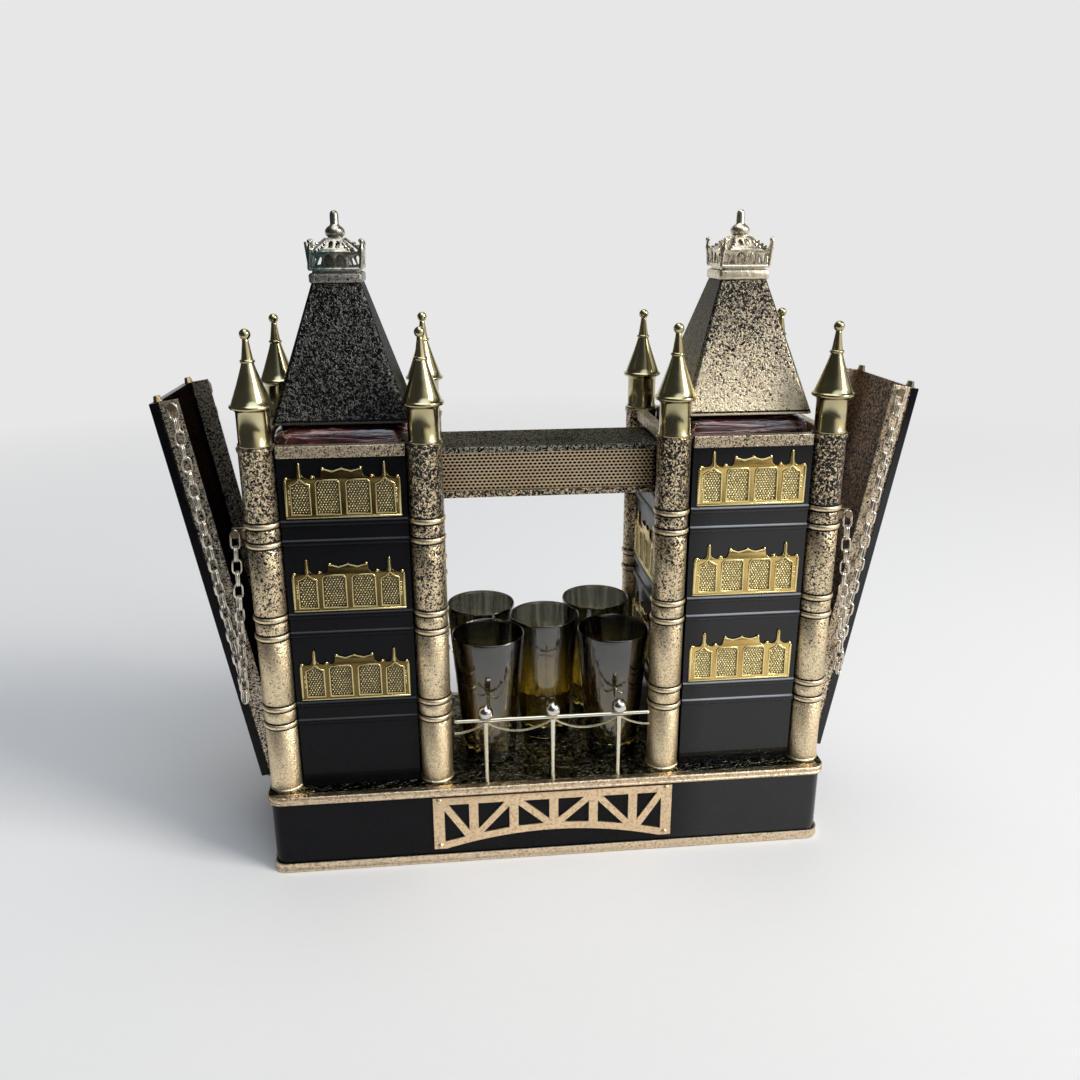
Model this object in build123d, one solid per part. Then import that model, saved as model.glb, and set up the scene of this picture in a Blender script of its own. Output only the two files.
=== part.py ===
from build123d import *
import math
import os

# A liqueur cabinet shaped like a bridge: two towers that each hold a square decanter under a lift-off
# roof, a deck with five glasses between them, a covered walkway above, and a hinged span at each end
# that hangs on two chains. X runs along the bridge, Y from front to back, Z up. All sizes are in
# millimetres, and the origin is the middle of the underside.
# Turned pieces have flat sides, apart from the hinges' round pins, and the chain links have six corners,
# so that the model stays light.

# Base: a wooden plinth between a foot tray and a deck tray, both of brass sheet
BASE_LENGTH = 303.0
BASE_DEPTH = 113.0
BASE_CORNER = 8.0
CORNER_FLATS = 3
DECK_TOP = 45.5
TRAY_SHEET = 1.4
TRAY_GAP = 0.3
FOOT_SKIRT = 5.0
DECK_SKIRT = 4.5
PLINTH_WALL = 9.0

# Tower columns, with a pair of rings under each window level and one ring at the top
TOWER_FROM_END = 49.5
COLUMN_SPACING_X = 80.0
COLUMN_FROM_EDGE = 15.3
COLUMN_RADIUS = 8.3
COLUMN_TOP = 230.2
COLUMN_SIDES = 8
RING_LEVELS = (93.6, 143.0, 191.8)
RING_PAIR_STEP = 10.0
RING_PROUD = 0.8
RING_HALF = 1.5

# Finials on the columns
FINIAL_SIDES = 8
FINIAL_COLLAR_RADIUS = 7.75
FINIAL_COLLAR_HEIGHT = 19.2
FINIAL_FLANGE_RADIUS = 10.3
FINIAL_CONE_HEIGHT = 21.0
FINIAL_CONE_TIP = 2.5
FINIAL_BEAD_RADIUS = 3.3
FINIAL_SPIKE_HEIGHT = 9.6
FINIAL_SPIKE_TIP = 1.1
FINIAL_BALL_RADIUS = 2.65

# Tower walls, cornices and window plaques
WALL_SHEET = 3.0
WALL_PROUD = 3.3
WALL_EDGE_GAP = 0.12
MOULDING_PROUD = 1.2
MOULDING_HALF = 1.7
CORNICE_HEIGHT = 6.0
CORNICE_DROP = 5.9
CORNICE_PROUD = 0.8
CORNICE_SHEET = 4.5
PLAQUE_WIDTH = 56.0
PLAQUE_SHOULDER = 21.5
PLAQUE_GABLE = 25.5
PLAQUE_SPIRE = 28.3
PLAQUE_SPIRE_INSET = 6.5
PLAQUE_SPIRE_FLARE = 3.0
PLAQUE_GABLE_HALF = 9.3
PLAQUE_GABLE_SLOPE = 2.0
PLAQUE_SHEET = 1.2
PLAQUE_LIFT = 2.6

# Walkway between the towers: two folded sheets with a mesh panel on each side
WALKWAY_BOTTOM = 195.8
WALKWAY_HEIGHT = 26.6
WALKWAY_DEPTH = 42.0
WALKWAY_SHEET = 1.3
WALKWAY_LIP = 3.2
MESH_SHEET = 1.0

# Decanters: square bottles with cut corners
DECANTER_SIDE = 68.0
DECANTER_CORNER = 7.0
DECANTER_WALL = 4.0
DECANTER_FLOOR = 6.0
DECANTER_ABOVE_COLUMN = 0.3
SHOULDER_HEIGHT = 5.5
SHOULDER_STEP = 2.8
SHOULDER_SLOPE = 7.0
NECK_WIDTH = 23.0
NECK_BORE = 15.0
NECK_HEIGHT = 15.0
LIP_WIDTH = 27.0
LIP_HEIGHT = 4.0

# Stoppers: a tapered cork with a flange, on a stem that hangs from the roof's cap
CORK_CLEARANCE = 0.35
CORK_LENGTH = 12.5
CORK_TAPER = 0.6
CORK_FLANGE_RADIUS = 11.5
CORK_FLANGE_HEIGHT = 3.0
STEM_RADIUS = 3.0
STOPPER_SIDES = 8

# Roofs, caps and crowns
ROOF_GAP = 2.1
ROOF_SIDE = 67.0
ROOF_CORNER = 2.0
ROOF_HEIGHT = 65.4
ROOF_TOP_SIDE = 24.0
ROOF_TOP_CORNER = 1.0
ROOF_SHEET = 1.2
CAP_SIDE = 25.8
CAP_CORNER = 1.2
CAP_HEIGHT = 6.0
CAP_BAND = 4.8
CAP_STEP = 1.4
CROWN_SIDE = 25.4
CROWN_SHEET = 1.3
CROWN_BAND = 3.0
CROWN_ARCH_HEIGHT = 8.6
CROWN_PINNACLE_HEIGHT = 14.6
CROWN_GABLE_HEIGHT = 12.0
CROWN_GABLE_HALF = 3.2
CROWN_PINNACLE_TIP = 1.1
CROWN_PINNACLE_FOOT = 3.2
CROWN_SADDLE_INSET = 6.0
CROWN_SADDLE_DROP = 1.6
CROWN_WINDOW_HALF = 2.4
CROWN_WINDOW_JAMB = 2.4
CROWN_WINDOW_HEIGHT = 4.0
CROWN_WINDOW_OUTWARD = 0.4
LANTERN_SIDES = 8
LANTERN_SIDE = 12.4
LANTERN_EAVES = 9.4
LANTERN_TOP_SIDE = 7.0
LANTERN_HEIGHT = 15.6
DOME_HEIGHT = 5.6
DOME_SIDE = 9.6
KNOB_RADIUS = 2.2
KNOB_HEIGHT = 6.8

# Glasses: tapered tumblers, and where each stands
GLASS_HEIGHT = 73.5
GLASS_RIM_RADIUS = 19.45
GLASS_FOOT_RADIUS = 13.8
GLASS_WALL = 1.5
GLASS_FLOOR = 7.0
GLASS_SIDES = 12
GLASS_PLACES = {
    "glass_front_left": (-32.0, -19.0),
    "glass_front_right": (37.0, -20.0),
    "glass_centre": (1.5, 4.0),
    "glass_rear_left": (-34.0, 25.5),
    "glass_rear_right": (34.5, 27.5),
}

# Gallery: a low rail along each edge of the deck between the towers
GALLERY_FRONT_INSET = 5.5
GALLERY_REAR_INSET = 2.9
GALLERY_POST_STEP = 35.5
GALLERY_POST_RADIUS = 1.35
POST_SIDES = 6
GALLERY_BAR_HEIGHT = 36.0
GALLERY_BAR_SIZE = 2.0
GALLERY_BAR_HALF_LENGTH = 52.0
GALLERY_BALL_RADIUS = 4.0
GALLERY_BALL_NECK = 1.4
BALL_SIDES = 8
SWAG_DROP = 6.6
SWAG_WIRE = 1.2
SWAG_STEPS = 4

# Lattice girders on the long sides of the plinth
GIRDER_HALF_LENGTH = 65.0
GIRDER_TOP_GAP = 1.0
GIRDER_END_BOTTOM = 8.5
GIRDER_ARCH_RISE = 8.0
GIRDER_CHORD = 3.4
GIRDER_STRUT = 3.0
GIRDER_SHEET = 1.2
GIRDER_UNITS = 3
RIVET_RADIUS = 1.7
RIVET_HEIGHT = 1.1
RIVET_SIDES = 6
RIVET_INSET = 3.4

# Hinged end spans, drawn flat and then folded up about their hinges
LEAF_FOLD = 80.5
LEAF_LENGTH = 207.0
LEAF_EDGE_FROM_COLUMN = 8.7
LEAF_BOARD = 4.0
LEAF_SHEET = 0.8
LEAF_ROOT_GAP = 0.6
PARAPET_HEIGHT = 9.0
PARAPET_ROOT_HEIGHT = 3.0
PARAPET_RAMP = 33.0
PARAPET_SHEET = 0.9
STUD_RADIUS = 2.0
STUD_LENGTH = 3.0
STUD_TAPER = 0.7
STUD_EDGE = 2.6
STUD_SIDES = 6

# Hinges: one knuckle of the span between two of the base, on a pin
KNUCKLE_RADIUS = 2.1
HINGE_PIN_RADIUS = 0.9
HINGE_PIN_PLAY = 0.05
KNUCKLE_SIDES = 8
HINGE_END_GAP = 0.5
HINGE_PLATE = 1.0
SPAN_KNUCKLE = 24.0
BASE_KNUCKLE = 14.0
KNUCKLE_GAP = 0.3

# Chains: a long strand that hangs on the span and a short one that hangs on the tower
LINK_WIRE = 1.2
LINK_WIDTH = 5.2
LINK_INSIDE = 6.7
LINK_PLAY = 0.2
LONG_STRAND_COUNT = 24
SHORT_STRAND_COUNT = 14
LINK_BEND_SHARE = 0.62
LINK_TWIST = 45.0
LINK_TWIST_STEP = 6.0
TONGUE_INSIDE = 8.4
CHAIN_PIN_RADIUS = 0.8
CHAIN_PIN_HEAD = 1.9
CHAIN_PIN_HEAD_SHEET = 1.0
CHAIN_PIN_SIDES = 6
CHAIN_CLEARANCE = 0.35
EYE_INSET = 3.0
EYE_DROP = 2.6
BRACKET_HEIGHT = 186.6
BRACKET_REACH = 5.6
BRACKET_ARM = 1.3
BRACKET_HALF = 2.0
BRACKET_FOOT = 1.0

# Places that follow from the sizes above
HALF_LENGTH = BASE_LENGTH / 2
HALF_DEPTH = BASE_DEPTH / 2
PLINTH_INSET = TRAY_SHEET + TRAY_GAP
TOWER_X = HALF_LENGTH - TOWER_FROM_END
HALF_SPACING_X = COLUMN_SPACING_X / 2
HALF_SPACING_Y = HALF_DEPTH - COLUMN_FROM_EDGE
RING_RADIUS = COLUMN_RADIUS + RING_PROUD
WALL_FACE_X = HALF_SPACING_X + WALL_PROUD
WALL_FACE_Y = HALF_SPACING_Y + WALL_PROUD
CORNICE_BOTTOM = COLUMN_TOP - CORNICE_DROP
DECANTER_TOP = COLUMN_TOP + DECANTER_ABOVE_COLUMN
SHOULDER_TOP = DECANTER_TOP + SHOULDER_HEIGHT
NECK_BOTTOM = SHOULDER_TOP + SHOULDER_SLOPE
LIP_TOP = NECK_BOTTOM + NECK_HEIGHT + LIP_HEIGHT
ROOF_BOTTOM = SHOULDER_TOP + ROOF_GAP
ROOF_TOP = ROOF_BOTTOM + ROOF_HEIGHT
CROWN_BOTTOM = ROOF_TOP + CAP_HEIGHT
LEAF_WIDTH = 2 * (HALF_SPACING_Y - LEAF_EDGE_FROM_COLUMN)
HINGE_X = HALF_LENGTH + HINGE_END_GAP + KNUCKLE_RADIUS
HINGE_Z = DECK_TOP - KNUCKLE_RADIUS
LEAF_ROOT = KNUCKLE_RADIUS + LEAF_ROOT_GAP
LEAF_TIP = LEAF_ROOT + LEAF_LENGTH
ROADWAY_TOP = KNUCKLE_RADIUS
BOARD_TOP = ROADWAY_TOP - LEAF_SHEET
LINK_PITCH = LINK_INSIDE - LINK_PLAY
EYE_HEIGHT = ROADWAY_TOP + PARAPET_HEIGHT - EYE_DROP
COLUMN_OUTSIDE = TOWER_X + HALF_SPACING_X + COLUMN_RADIUS
BRACKET_PIN_X = COLUMN_OUTSIDE + BRACKET_REACH
LONG_STRAND_Y = LEAF_WIDTH / 2 + CHAIN_CLEARANCE + LINK_WIDTH / 2
SHORT_STRAND_Y = LONG_STRAND_Y + LINK_WIDTH + CHAIN_CLEARANCE
STEP = 0.2
SIDES = {"left": -1, "right": 1}

os.makedirs("parts", exist_ok=True)


def save(name, *pieces):
    """Writes one node, with every solid of the given pieces."""
    solids = [solid for piece in pieces for solid in piece.solids()]
    shape = solids[0] if len(solids) == 1 else Compound(solids)
    export_step(shape, f"parts/{name}.step")


def block(low_x, high_x, low_y, high_y, low_z, high_z):
    """A rectangular block between two corners."""
    centre = ((low_x + high_x) / 2, (low_y + high_y) / 2, (low_z + high_z) / 2)
    return Pos(*centre) * Box(high_x - low_x, high_y - low_y, high_z - low_z)


def flat_face(corners):
    """A flat face through its corners."""
    return Face(Wire.make_polygon(corners))


def stacked(levels):
    """A flat-sided solid through level outlines with equal numbers of corners, lowest first."""
    rings = [[Vector(x, y, height) for x, y in outline] for height, outline in levels]
    faces = [flat_face(rings[0]), flat_face(rings[-1])]
    for low, high in zip(rings, rings[1:]):
        for number in range(len(low)):
            after = (number + 1) % len(low)
            faces.append(flat_face([low[number], low[after], high[after], high[number]]))
    return Solid(Shell(faces))


def turned(sections, sides):
    """A flat-sided turning through (height, radius to the middle of a flat), lowest first."""
    step = 2 * math.pi / sides
    levels = []
    for height, radius in sections:
        corner = radius / math.cos(step / 2)
        angles = [step * (number + 0.5) for number in range(sides)]
        levels.append((height, [(corner * math.cos(turn), corner * math.sin(turn)) for turn in angles]))
    return stacked(levels)


def cut_square(side, corner):
    """The corners of a square with its own corners cut off."""
    half = side / 2
    quarter = [(half, corner - half), (half, half - corner)]
    points = []
    for _ in range(4):
        points.extend(quarter)
        quarter = [(-y, x) for x, y in quarter]
    return points


def square_stack(sections):
    """A flat-sided solid through cut squares, given as (height, side, corner)."""
    return stacked([(height, cut_square(side, corner)) for height, side, corner in sections])


def octagon_corner(width):
    """The corner cut that makes a square of this width a regular octagon."""
    return width / (2 + math.sqrt(2))


def rounded_block(length, depth, corner, low_z, high_z):
    """An upright block with corners rounded in a few flats."""
    turns = [math.pi / 2 * number / CORNER_FLATS for number in range(CORNER_FLATS + 1)]
    arc = [(corner * math.cos(turn), corner * math.sin(turn)) for turn in turns]
    across = length / 2 - corner
    along = depth / 2 - corner
    outline = [(across + x, along + y) for x, y in arc]
    outline += [(-across - x, along + y) for x, y in reversed(arc)]
    outline += [(-across - x, -along - y) for x, y in arc]
    outline += [(across + x, -along - y) for x, y in reversed(arc)]
    return stacked([(low_z, outline), (high_z, outline)])


def mirrored(piece):
    """The same piece on the other end of the bridge."""
    return mirror(piece, about=Plane.YZ)


def front_and_back(piece):
    """A piece and its twin on the other long side."""
    return [piece, mirror(piece, about=Plane.XZ)]


def base():
    """The foot tray, the hollow plinth and the deck tray."""
    plinth_length = BASE_LENGTH - 2 * PLINTH_INSET
    plinth_depth = BASE_DEPTH - 2 * PLINTH_INSET
    plinth_corner = BASE_CORNER - PLINTH_INSET
    tray_hole = (
        BASE_LENGTH - 2 * TRAY_SHEET,
        BASE_DEPTH - 2 * TRAY_SHEET,
        BASE_CORNER - TRAY_SHEET,
    )
    foot = rounded_block(BASE_LENGTH, BASE_DEPTH, BASE_CORNER, 0, FOOT_SKIRT)
    foot -= rounded_block(*tray_hole, TRAY_SHEET, FOOT_SKIRT)
    deck = rounded_block(BASE_LENGTH, BASE_DEPTH, BASE_CORNER, DECK_TOP - DECK_SKIRT, DECK_TOP)
    deck -= rounded_block(*tray_hole, DECK_TOP - DECK_SKIRT, DECK_TOP - TRAY_SHEET)
    plinth = rounded_block(
        plinth_length, plinth_depth, plinth_corner, TRAY_SHEET, DECK_TOP - TRAY_SHEET
    )
    plinth -= block(
        PLINTH_WALL - plinth_length / 2,
        plinth_length / 2 - PLINTH_WALL,
        PLINTH_WALL - plinth_depth / 2,
        plinth_depth / 2 - PLINTH_WALL,
        TRAY_SHEET,
        DECK_TOP - TRAY_SHEET,
    )
    save("base_foot_tray", foot)
    save("base_plinth", plinth)
    save("base_deck", deck)


def column():
    """One column on the deck, with its rings."""
    sections = [(DECK_TOP, COLUMN_RADIUS)]
    for level in RING_LEVELS:
        sections.append((level - RING_PAIR_STEP - RING_HALF, COLUMN_RADIUS))
        sections.append((level - RING_PAIR_STEP, RING_RADIUS))
        sections.append((level - RING_PAIR_STEP / 2, COLUMN_RADIUS))
        sections.append((level, RING_RADIUS))
        sections.append((level + RING_HALF, COLUMN_RADIUS))
    sections.append((COLUMN_TOP - 2 * RING_HALF, COLUMN_RADIUS))
    sections.append((COLUMN_TOP, RING_RADIUS))
    return turned(sections, COLUMN_SIDES)


def finial():
    """One finial: collar, flange, cone, bead, spike and ball."""
    flange = COLUMN_TOP + FINIAL_COLLAR_HEIGHT
    bead = flange + FINIAL_CONE_HEIGHT
    ball = bead + FINIAL_SPIKE_HEIGHT + FINIAL_BALL_RADIUS
    top = ball + FINIAL_BALL_RADIUS
    sections = [
        (COLUMN_TOP, FINIAL_COLLAR_RADIUS),
        (flange, FINIAL_COLLAR_RADIUS),
        (flange + STEP, FINIAL_FLANGE_RADIUS),
        (bead, FINIAL_CONE_TIP),
        (bead + STEP, FINIAL_BEAD_RADIUS),
        (ball - FINIAL_BALL_RADIUS * 0.8, FINIAL_SPIKE_TIP),
        (ball, FINIAL_BALL_RADIUS),
        (top, FINIAL_BALL_RADIUS / 4),
    ]
    return turned(sections, FINIAL_SIDES)


def wall(width, ridge_levels):
    """A wall with its outer face in the plane Y = 0, facing -Y, and ridges level with the rings."""
    points = [(0, DECK_TOP)]
    for level in ridge_levels:
        for height in (level - RING_PAIR_STEP, level):
            points.append((0, height - MOULDING_HALF))
            points.append((-MOULDING_PROUD, height))
            points.append((0, height + MOULDING_HALF))
    points.append((0, CORNICE_BOTTOM))
    points.append((WALL_SHEET, CORNICE_BOTTOM))
    points.append((WALL_SHEET, DECK_TOP))
    section = Plane.YZ * make_face(Polyline(*points, close=True))
    return Pos(-width / 2, 0, 0) * extrude(section, width)


def cornice_bar(width):
    """A bar on top of a wall, in the wall's own place."""
    top = CORNICE_BOTTOM + CORNICE_HEIGHT
    return block(-width / 2, width / 2, -CORNICE_PROUD, CORNICE_SHEET, CORNICE_BOTTOM, top)


def plaque(bottom):
    """A row of windows with battlements, two spires and a middle gable, on the face of a wall."""
    half = PLAQUE_WIDTH / 2
    spire = half - PLAQUE_SPIRE_INSET
    side = [
        (half, 0),
        (half, PLAQUE_SHOULDER),
        (spire, PLAQUE_SPIRE),
        (spire - PLAQUE_SPIRE_FLARE, PLAQUE_SHOULDER),
        (PLAQUE_GABLE_HALF, PLAQUE_SHOULDER),
        (PLAQUE_GABLE_HALF - PLAQUE_GABLE_SLOPE, PLAQUE_GABLE),
    ]
    points = side + [(-x, z) for x, z in reversed(side)]
    face = Plane.XZ * make_face(Polyline(*points, close=True))
    return Pos(0, 0, bottom) * extrude(face, PLAQUE_SHEET)


def tower(side):
    """Everything fixed on one tower: columns, finials, walls, cornice and plaques."""
    sign = SIDES[side]
    columns = []
    finials = []
    one_column = column()
    one_finial = finial()
    for x in (-HALF_SPACING_X, HALF_SPACING_X):
        for y in (-HALF_SPACING_Y, HALF_SPACING_Y):
            place = Pos(sign * TOWER_X + x, y, 0)
            columns.append(place * one_column)
            finials.append(place * one_finial)
    save(f"tower_{side}_columns", *columns)
    save(f"tower_{side}_finials", *finials)
    edge = RING_RADIUS + WALL_EDGE_GAP
    width_x = COLUMN_SPACING_X - 2 * edge
    width_y = 2 * (HALF_SPACING_Y - edge)
    centre = Pos(sign * TOWER_X, 0, 0)
    outward = Rot(0, 0, 90 * sign)
    rows = RING_LEVELS
    faces = {
        "front": (centre * Pos(0, -WALL_FACE_Y, 0), width_x, rows, rows),
        "rear": (centre * Rot(0, 0, 180) * Pos(0, -WALL_FACE_Y, 0), width_x, rows, rows),
        "inner": (centre * outward.inverse() * Pos(0, -WALL_FACE_X, 0), width_y, rows, rows[:-1]),
        "outer": (centre * outward * Pos(0, -WALL_FACE_X, 0), width_y, (), ()),
    }
    bars = []
    plaques = []
    for face, (place, width, ridge_levels, plaque_levels) in faces.items():
        save(f"tower_{side}_wall_{face}", place * wall(width, ridge_levels))
        bars.append(place * cornice_bar(width))
        plaques.extend(place * plaque(level + PLAQUE_LIFT) for level in plaque_levels)
    save(f"tower_{side}_cornice", *bars)
    save(f"tower_{side}_plaques", *plaques)


def walkway():
    """The covered walkway: a folded roof, a folded floor and two mesh panels between the towers."""
    end = TOWER_X - WALL_FACE_X
    half = WALKWAY_DEPTH / 2
    top = WALKWAY_BOTTOM + WALKWAY_HEIGHT
    floor = block(-end, end, -half, half, WALKWAY_BOTTOM, WALKWAY_BOTTOM + WALKWAY_LIP)
    floor -= block(
        -end,
        end,
        WALKWAY_SHEET - half,
        half - WALKWAY_SHEET,
        WALKWAY_BOTTOM + WALKWAY_SHEET,
        WALKWAY_BOTTOM + WALKWAY_LIP,
    )
    roof = mirror(floor, about=Plane.XY.offset(WALKWAY_BOTTOM + WALKWAY_HEIGHT / 2))
    outside = WALKWAY_SHEET - half
    mesh = block(
        -end,
        end,
        outside,
        outside + MESH_SHEET,
        WALKWAY_BOTTOM + WALKWAY_SHEET,
        top - WALKWAY_SHEET,
    )
    save("walkway_floor", floor)
    save("walkway_roof", roof)
    save("walkway_mesh_front", mesh)
    save("walkway_mesh_rear", mirror(mesh, about=Plane.XZ))


def decanter():
    """A square bottle with cut corners, sloping shoulders and a lipped neck."""
    slim = DECANTER_SIDE - 2 * SHOULDER_STEP
    wall_cut = 2 * DECANTER_WALL
    neck_top = NECK_BOTTOM + NECK_HEIGHT
    outside = square_stack(
        [
            (DECK_TOP, DECANTER_SIDE, DECANTER_CORNER),
            (DECANTER_TOP, DECANTER_SIDE, DECANTER_CORNER),
            (SHOULDER_TOP, slim, DECANTER_CORNER),
            (NECK_BOTTOM, NECK_WIDTH, octagon_corner(NECK_WIDTH)),
            (neck_top, NECK_WIDTH, octagon_corner(NECK_WIDTH)),
            (neck_top + STEP, LIP_WIDTH, octagon_corner(LIP_WIDTH)),
            (LIP_TOP, LIP_WIDTH, octagon_corner(LIP_WIDTH)),
        ]
    )
    inside_corner = DECANTER_CORNER / 2
    inside = square_stack(
        [
            (DECK_TOP + DECANTER_FLOOR, DECANTER_SIDE - wall_cut, inside_corner),
            (DECANTER_TOP - DECANTER_WALL / 2, DECANTER_SIDE - wall_cut, inside_corner),
            (SHOULDER_TOP - DECANTER_WALL / 2, slim - wall_cut, DECANTER_CORNER),
            (NECK_BOTTOM - DECANTER_WALL / 2, NECK_BORE, octagon_corner(NECK_BORE)),
            (LIP_TOP, NECK_BORE, octagon_corner(NECK_BORE)),
        ]
    )
    return outside - inside


def stopper():
    """A tapered cork in the neck, with a flange on the lip and a stem up to the roof's cap."""
    cork = NECK_BORE / 2 - CORK_CLEARANCE
    flange_top = LIP_TOP + STEP + CORK_FLANGE_HEIGHT
    sections = [
        (LIP_TOP - CORK_LENGTH, cork - CORK_TAPER),
        (LIP_TOP, cork),
        (LIP_TOP + STEP, CORK_FLANGE_RADIUS),
        (flange_top, CORK_FLANGE_RADIUS),
        (flange_top + STEP, STEM_RADIUS),
        (ROOF_TOP, STEM_RADIUS),
    ]
    return turned(sections, STOPPER_SIDES)


def roof():
    """A pyramid of folded sheet, open below and closed above by its cap."""
    sheet = 2 * ROOF_SHEET
    outside = square_stack(
        [(ROOF_BOTTOM, ROOF_SIDE, ROOF_CORNER), (ROOF_TOP, ROOF_TOP_SIDE, ROOF_TOP_CORNER)]
    )
    inside = square_stack(
        [
            (ROOF_BOTTOM, ROOF_SIDE - sheet, ROOF_CORNER),
            (ROOF_TOP, ROOF_TOP_SIDE - sheet, ROOF_TOP_CORNER),
        ]
    )
    return outside - inside


def roof_cap():
    """The square collar that closes the roof and carries the crown."""
    waist = ROOF_TOP + CAP_BAND
    return square_stack(
        [
            (ROOF_TOP, CAP_SIDE, CAP_CORNER),
            (waist, CAP_SIDE, CAP_CORNER),
            (waist + STEP, CAP_SIDE - 2 * CAP_STEP, CAP_CORNER),
            (CROWN_BOTTOM, CAP_SIDE - 2 * CAP_STEP, CAP_CORNER),
        ]
    )


def crown_cutter():
    """What is cut from each pair of crown walls: the sky above the gables and two pointed windows."""
    half = CROWN_SIDE / 2
    top = CROWN_PINNACLE_HEIGHT
    reach = half + CROWN_SHEET
    arch = CROWN_ARCH_HEIGHT
    sky = [
        (reach, top + CROWN_SHEET),
        (half - CROWN_PINNACLE_TIP, top),
        (half - CROWN_PINNACLE_FOOT, arch),
        (half - CROWN_SADDLE_INSET, arch - CROWN_SADDLE_DROP),
        (CROWN_GABLE_HALF, arch),
        (0, CROWN_GABLE_HEIGHT),
    ]
    sky += [(-x, z) for x, z in reversed(sky[:-1])]
    face = make_face(Polyline(*sky, close=True))
    sill = CROWN_BAND
    jamb = sill + CROWN_WINDOW_JAMB
    middle = half / 2 + CROWN_WINDOW_OUTWARD
    for centre in (-middle, middle):
        window = [
            (centre - CROWN_WINDOW_HALF, sill),
            (centre + CROWN_WINDOW_HALF, sill),
            (centre + CROWN_WINDOW_HALF, jamb),
            (centre, sill + CROWN_WINDOW_HEIGHT),
            (centre - CROWN_WINDOW_HALF, jamb),
        ]
        face += make_face(Polyline(*window, close=True))
    return extrude(Plane.XZ * face, CROWN_SIDE, both=True)


def crown():
    """A square crown with corner pinnacles, gables and windows, and a lantern with a knob in it."""
    hole = CROWN_SIDE - 2 * CROWN_SHEET
    shell = block(
        -CROWN_SIDE / 2, CROWN_SIDE / 2, -CROWN_SIDE / 2, CROWN_SIDE / 2, 0, CROWN_PINNACLE_HEIGHT
    )
    shell -= block(-hole / 2, hole / 2, -hole / 2, hole / 2, CROWN_SHEET, CROWN_PINNACLE_HEIGHT)
    cutter = crown_cutter()
    shell -= cutter
    shell -= Rot(0, 0, 90) * cutter
    dome = LANTERN_HEIGHT
    knob = dome + DOME_HEIGHT
    lantern = turned(
        [
            (CROWN_SHEET, LANTERN_SIDE / 2),
            (LANTERN_EAVES, LANTERN_SIDE / 2),
            (dome, LANTERN_TOP_SIDE / 2),
            (dome + STEP, DOME_SIDE / 2),
            (dome + DOME_HEIGHT / 2, DOME_SIDE / 2),
            (knob, KNOB_RADIUS / 2),
            (knob + KNOB_HEIGHT / 3, KNOB_RADIUS),
            (knob + KNOB_HEIGHT * 2 / 3, KNOB_RADIUS),
            (knob + KNOB_HEIGHT, KNOB_RADIUS / 3),
        ],
        LANTERN_SIDES,
    )
    return [Pos(0, 0, CROWN_BOTTOM) * shell, Pos(0, 0, CROWN_BOTTOM) * lantern]


def tower_contents(side):
    """The decanter in one tower, and the roof with its cap, crown and stopper."""
    place = Pos(SIDES[side] * TOWER_X, 0, 0)
    save(f"decanter_{side}", place * decanter())
    save(f"stopper_{side}", place * stopper())
    save(f"roof_{side}", place * roof())
    save(f"roof_cap_{side}", place * roof_cap())
    save(f"crown_{side}", *[place * piece for piece in crown()])


def glasses():
    """Five tapered tumblers with thick floors."""
    slope = (GLASS_RIM_RADIUS - GLASS_FOOT_RADIUS) / GLASS_HEIGHT
    top = DECK_TOP + GLASS_HEIGHT
    floor_radius = GLASS_FOOT_RADIUS + slope * GLASS_FLOOR - GLASS_WALL
    outside = turned([(DECK_TOP, GLASS_FOOT_RADIUS), (top, GLASS_RIM_RADIUS)], GLASS_SIDES)
    inside = turned(
        [(DECK_TOP + GLASS_FLOOR, floor_radius), (top, GLASS_RIM_RADIUS - GLASS_WALL)], GLASS_SIDES
    )
    glass = outside - inside
    for name, (x, y) in GLASS_PLACES.items():
        save(name, Pos(x, y, 0) * glass)


def swag(start, span, steps):
    """A hanging wire from start along X, drawn for the first few of the steps of its whole span."""
    top = DECK_TOP + GALLERY_BAR_HEIGHT
    upper = []
    lower = []
    for step in range(steps + 1):
        share = step / SWAG_STEPS
        height = top - SWAG_DROP * 4 * share * (1 - share)
        upper.append((start + span * share, height))
        lower.append((start + span * share, height - SWAG_WIRE))
    face = Plane.XZ * make_face(Polyline(*upper, *reversed(lower), close=True))
    return Pos(0, SWAG_WIRE / 2, 0) * extrude(face, SWAG_WIRE)


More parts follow.
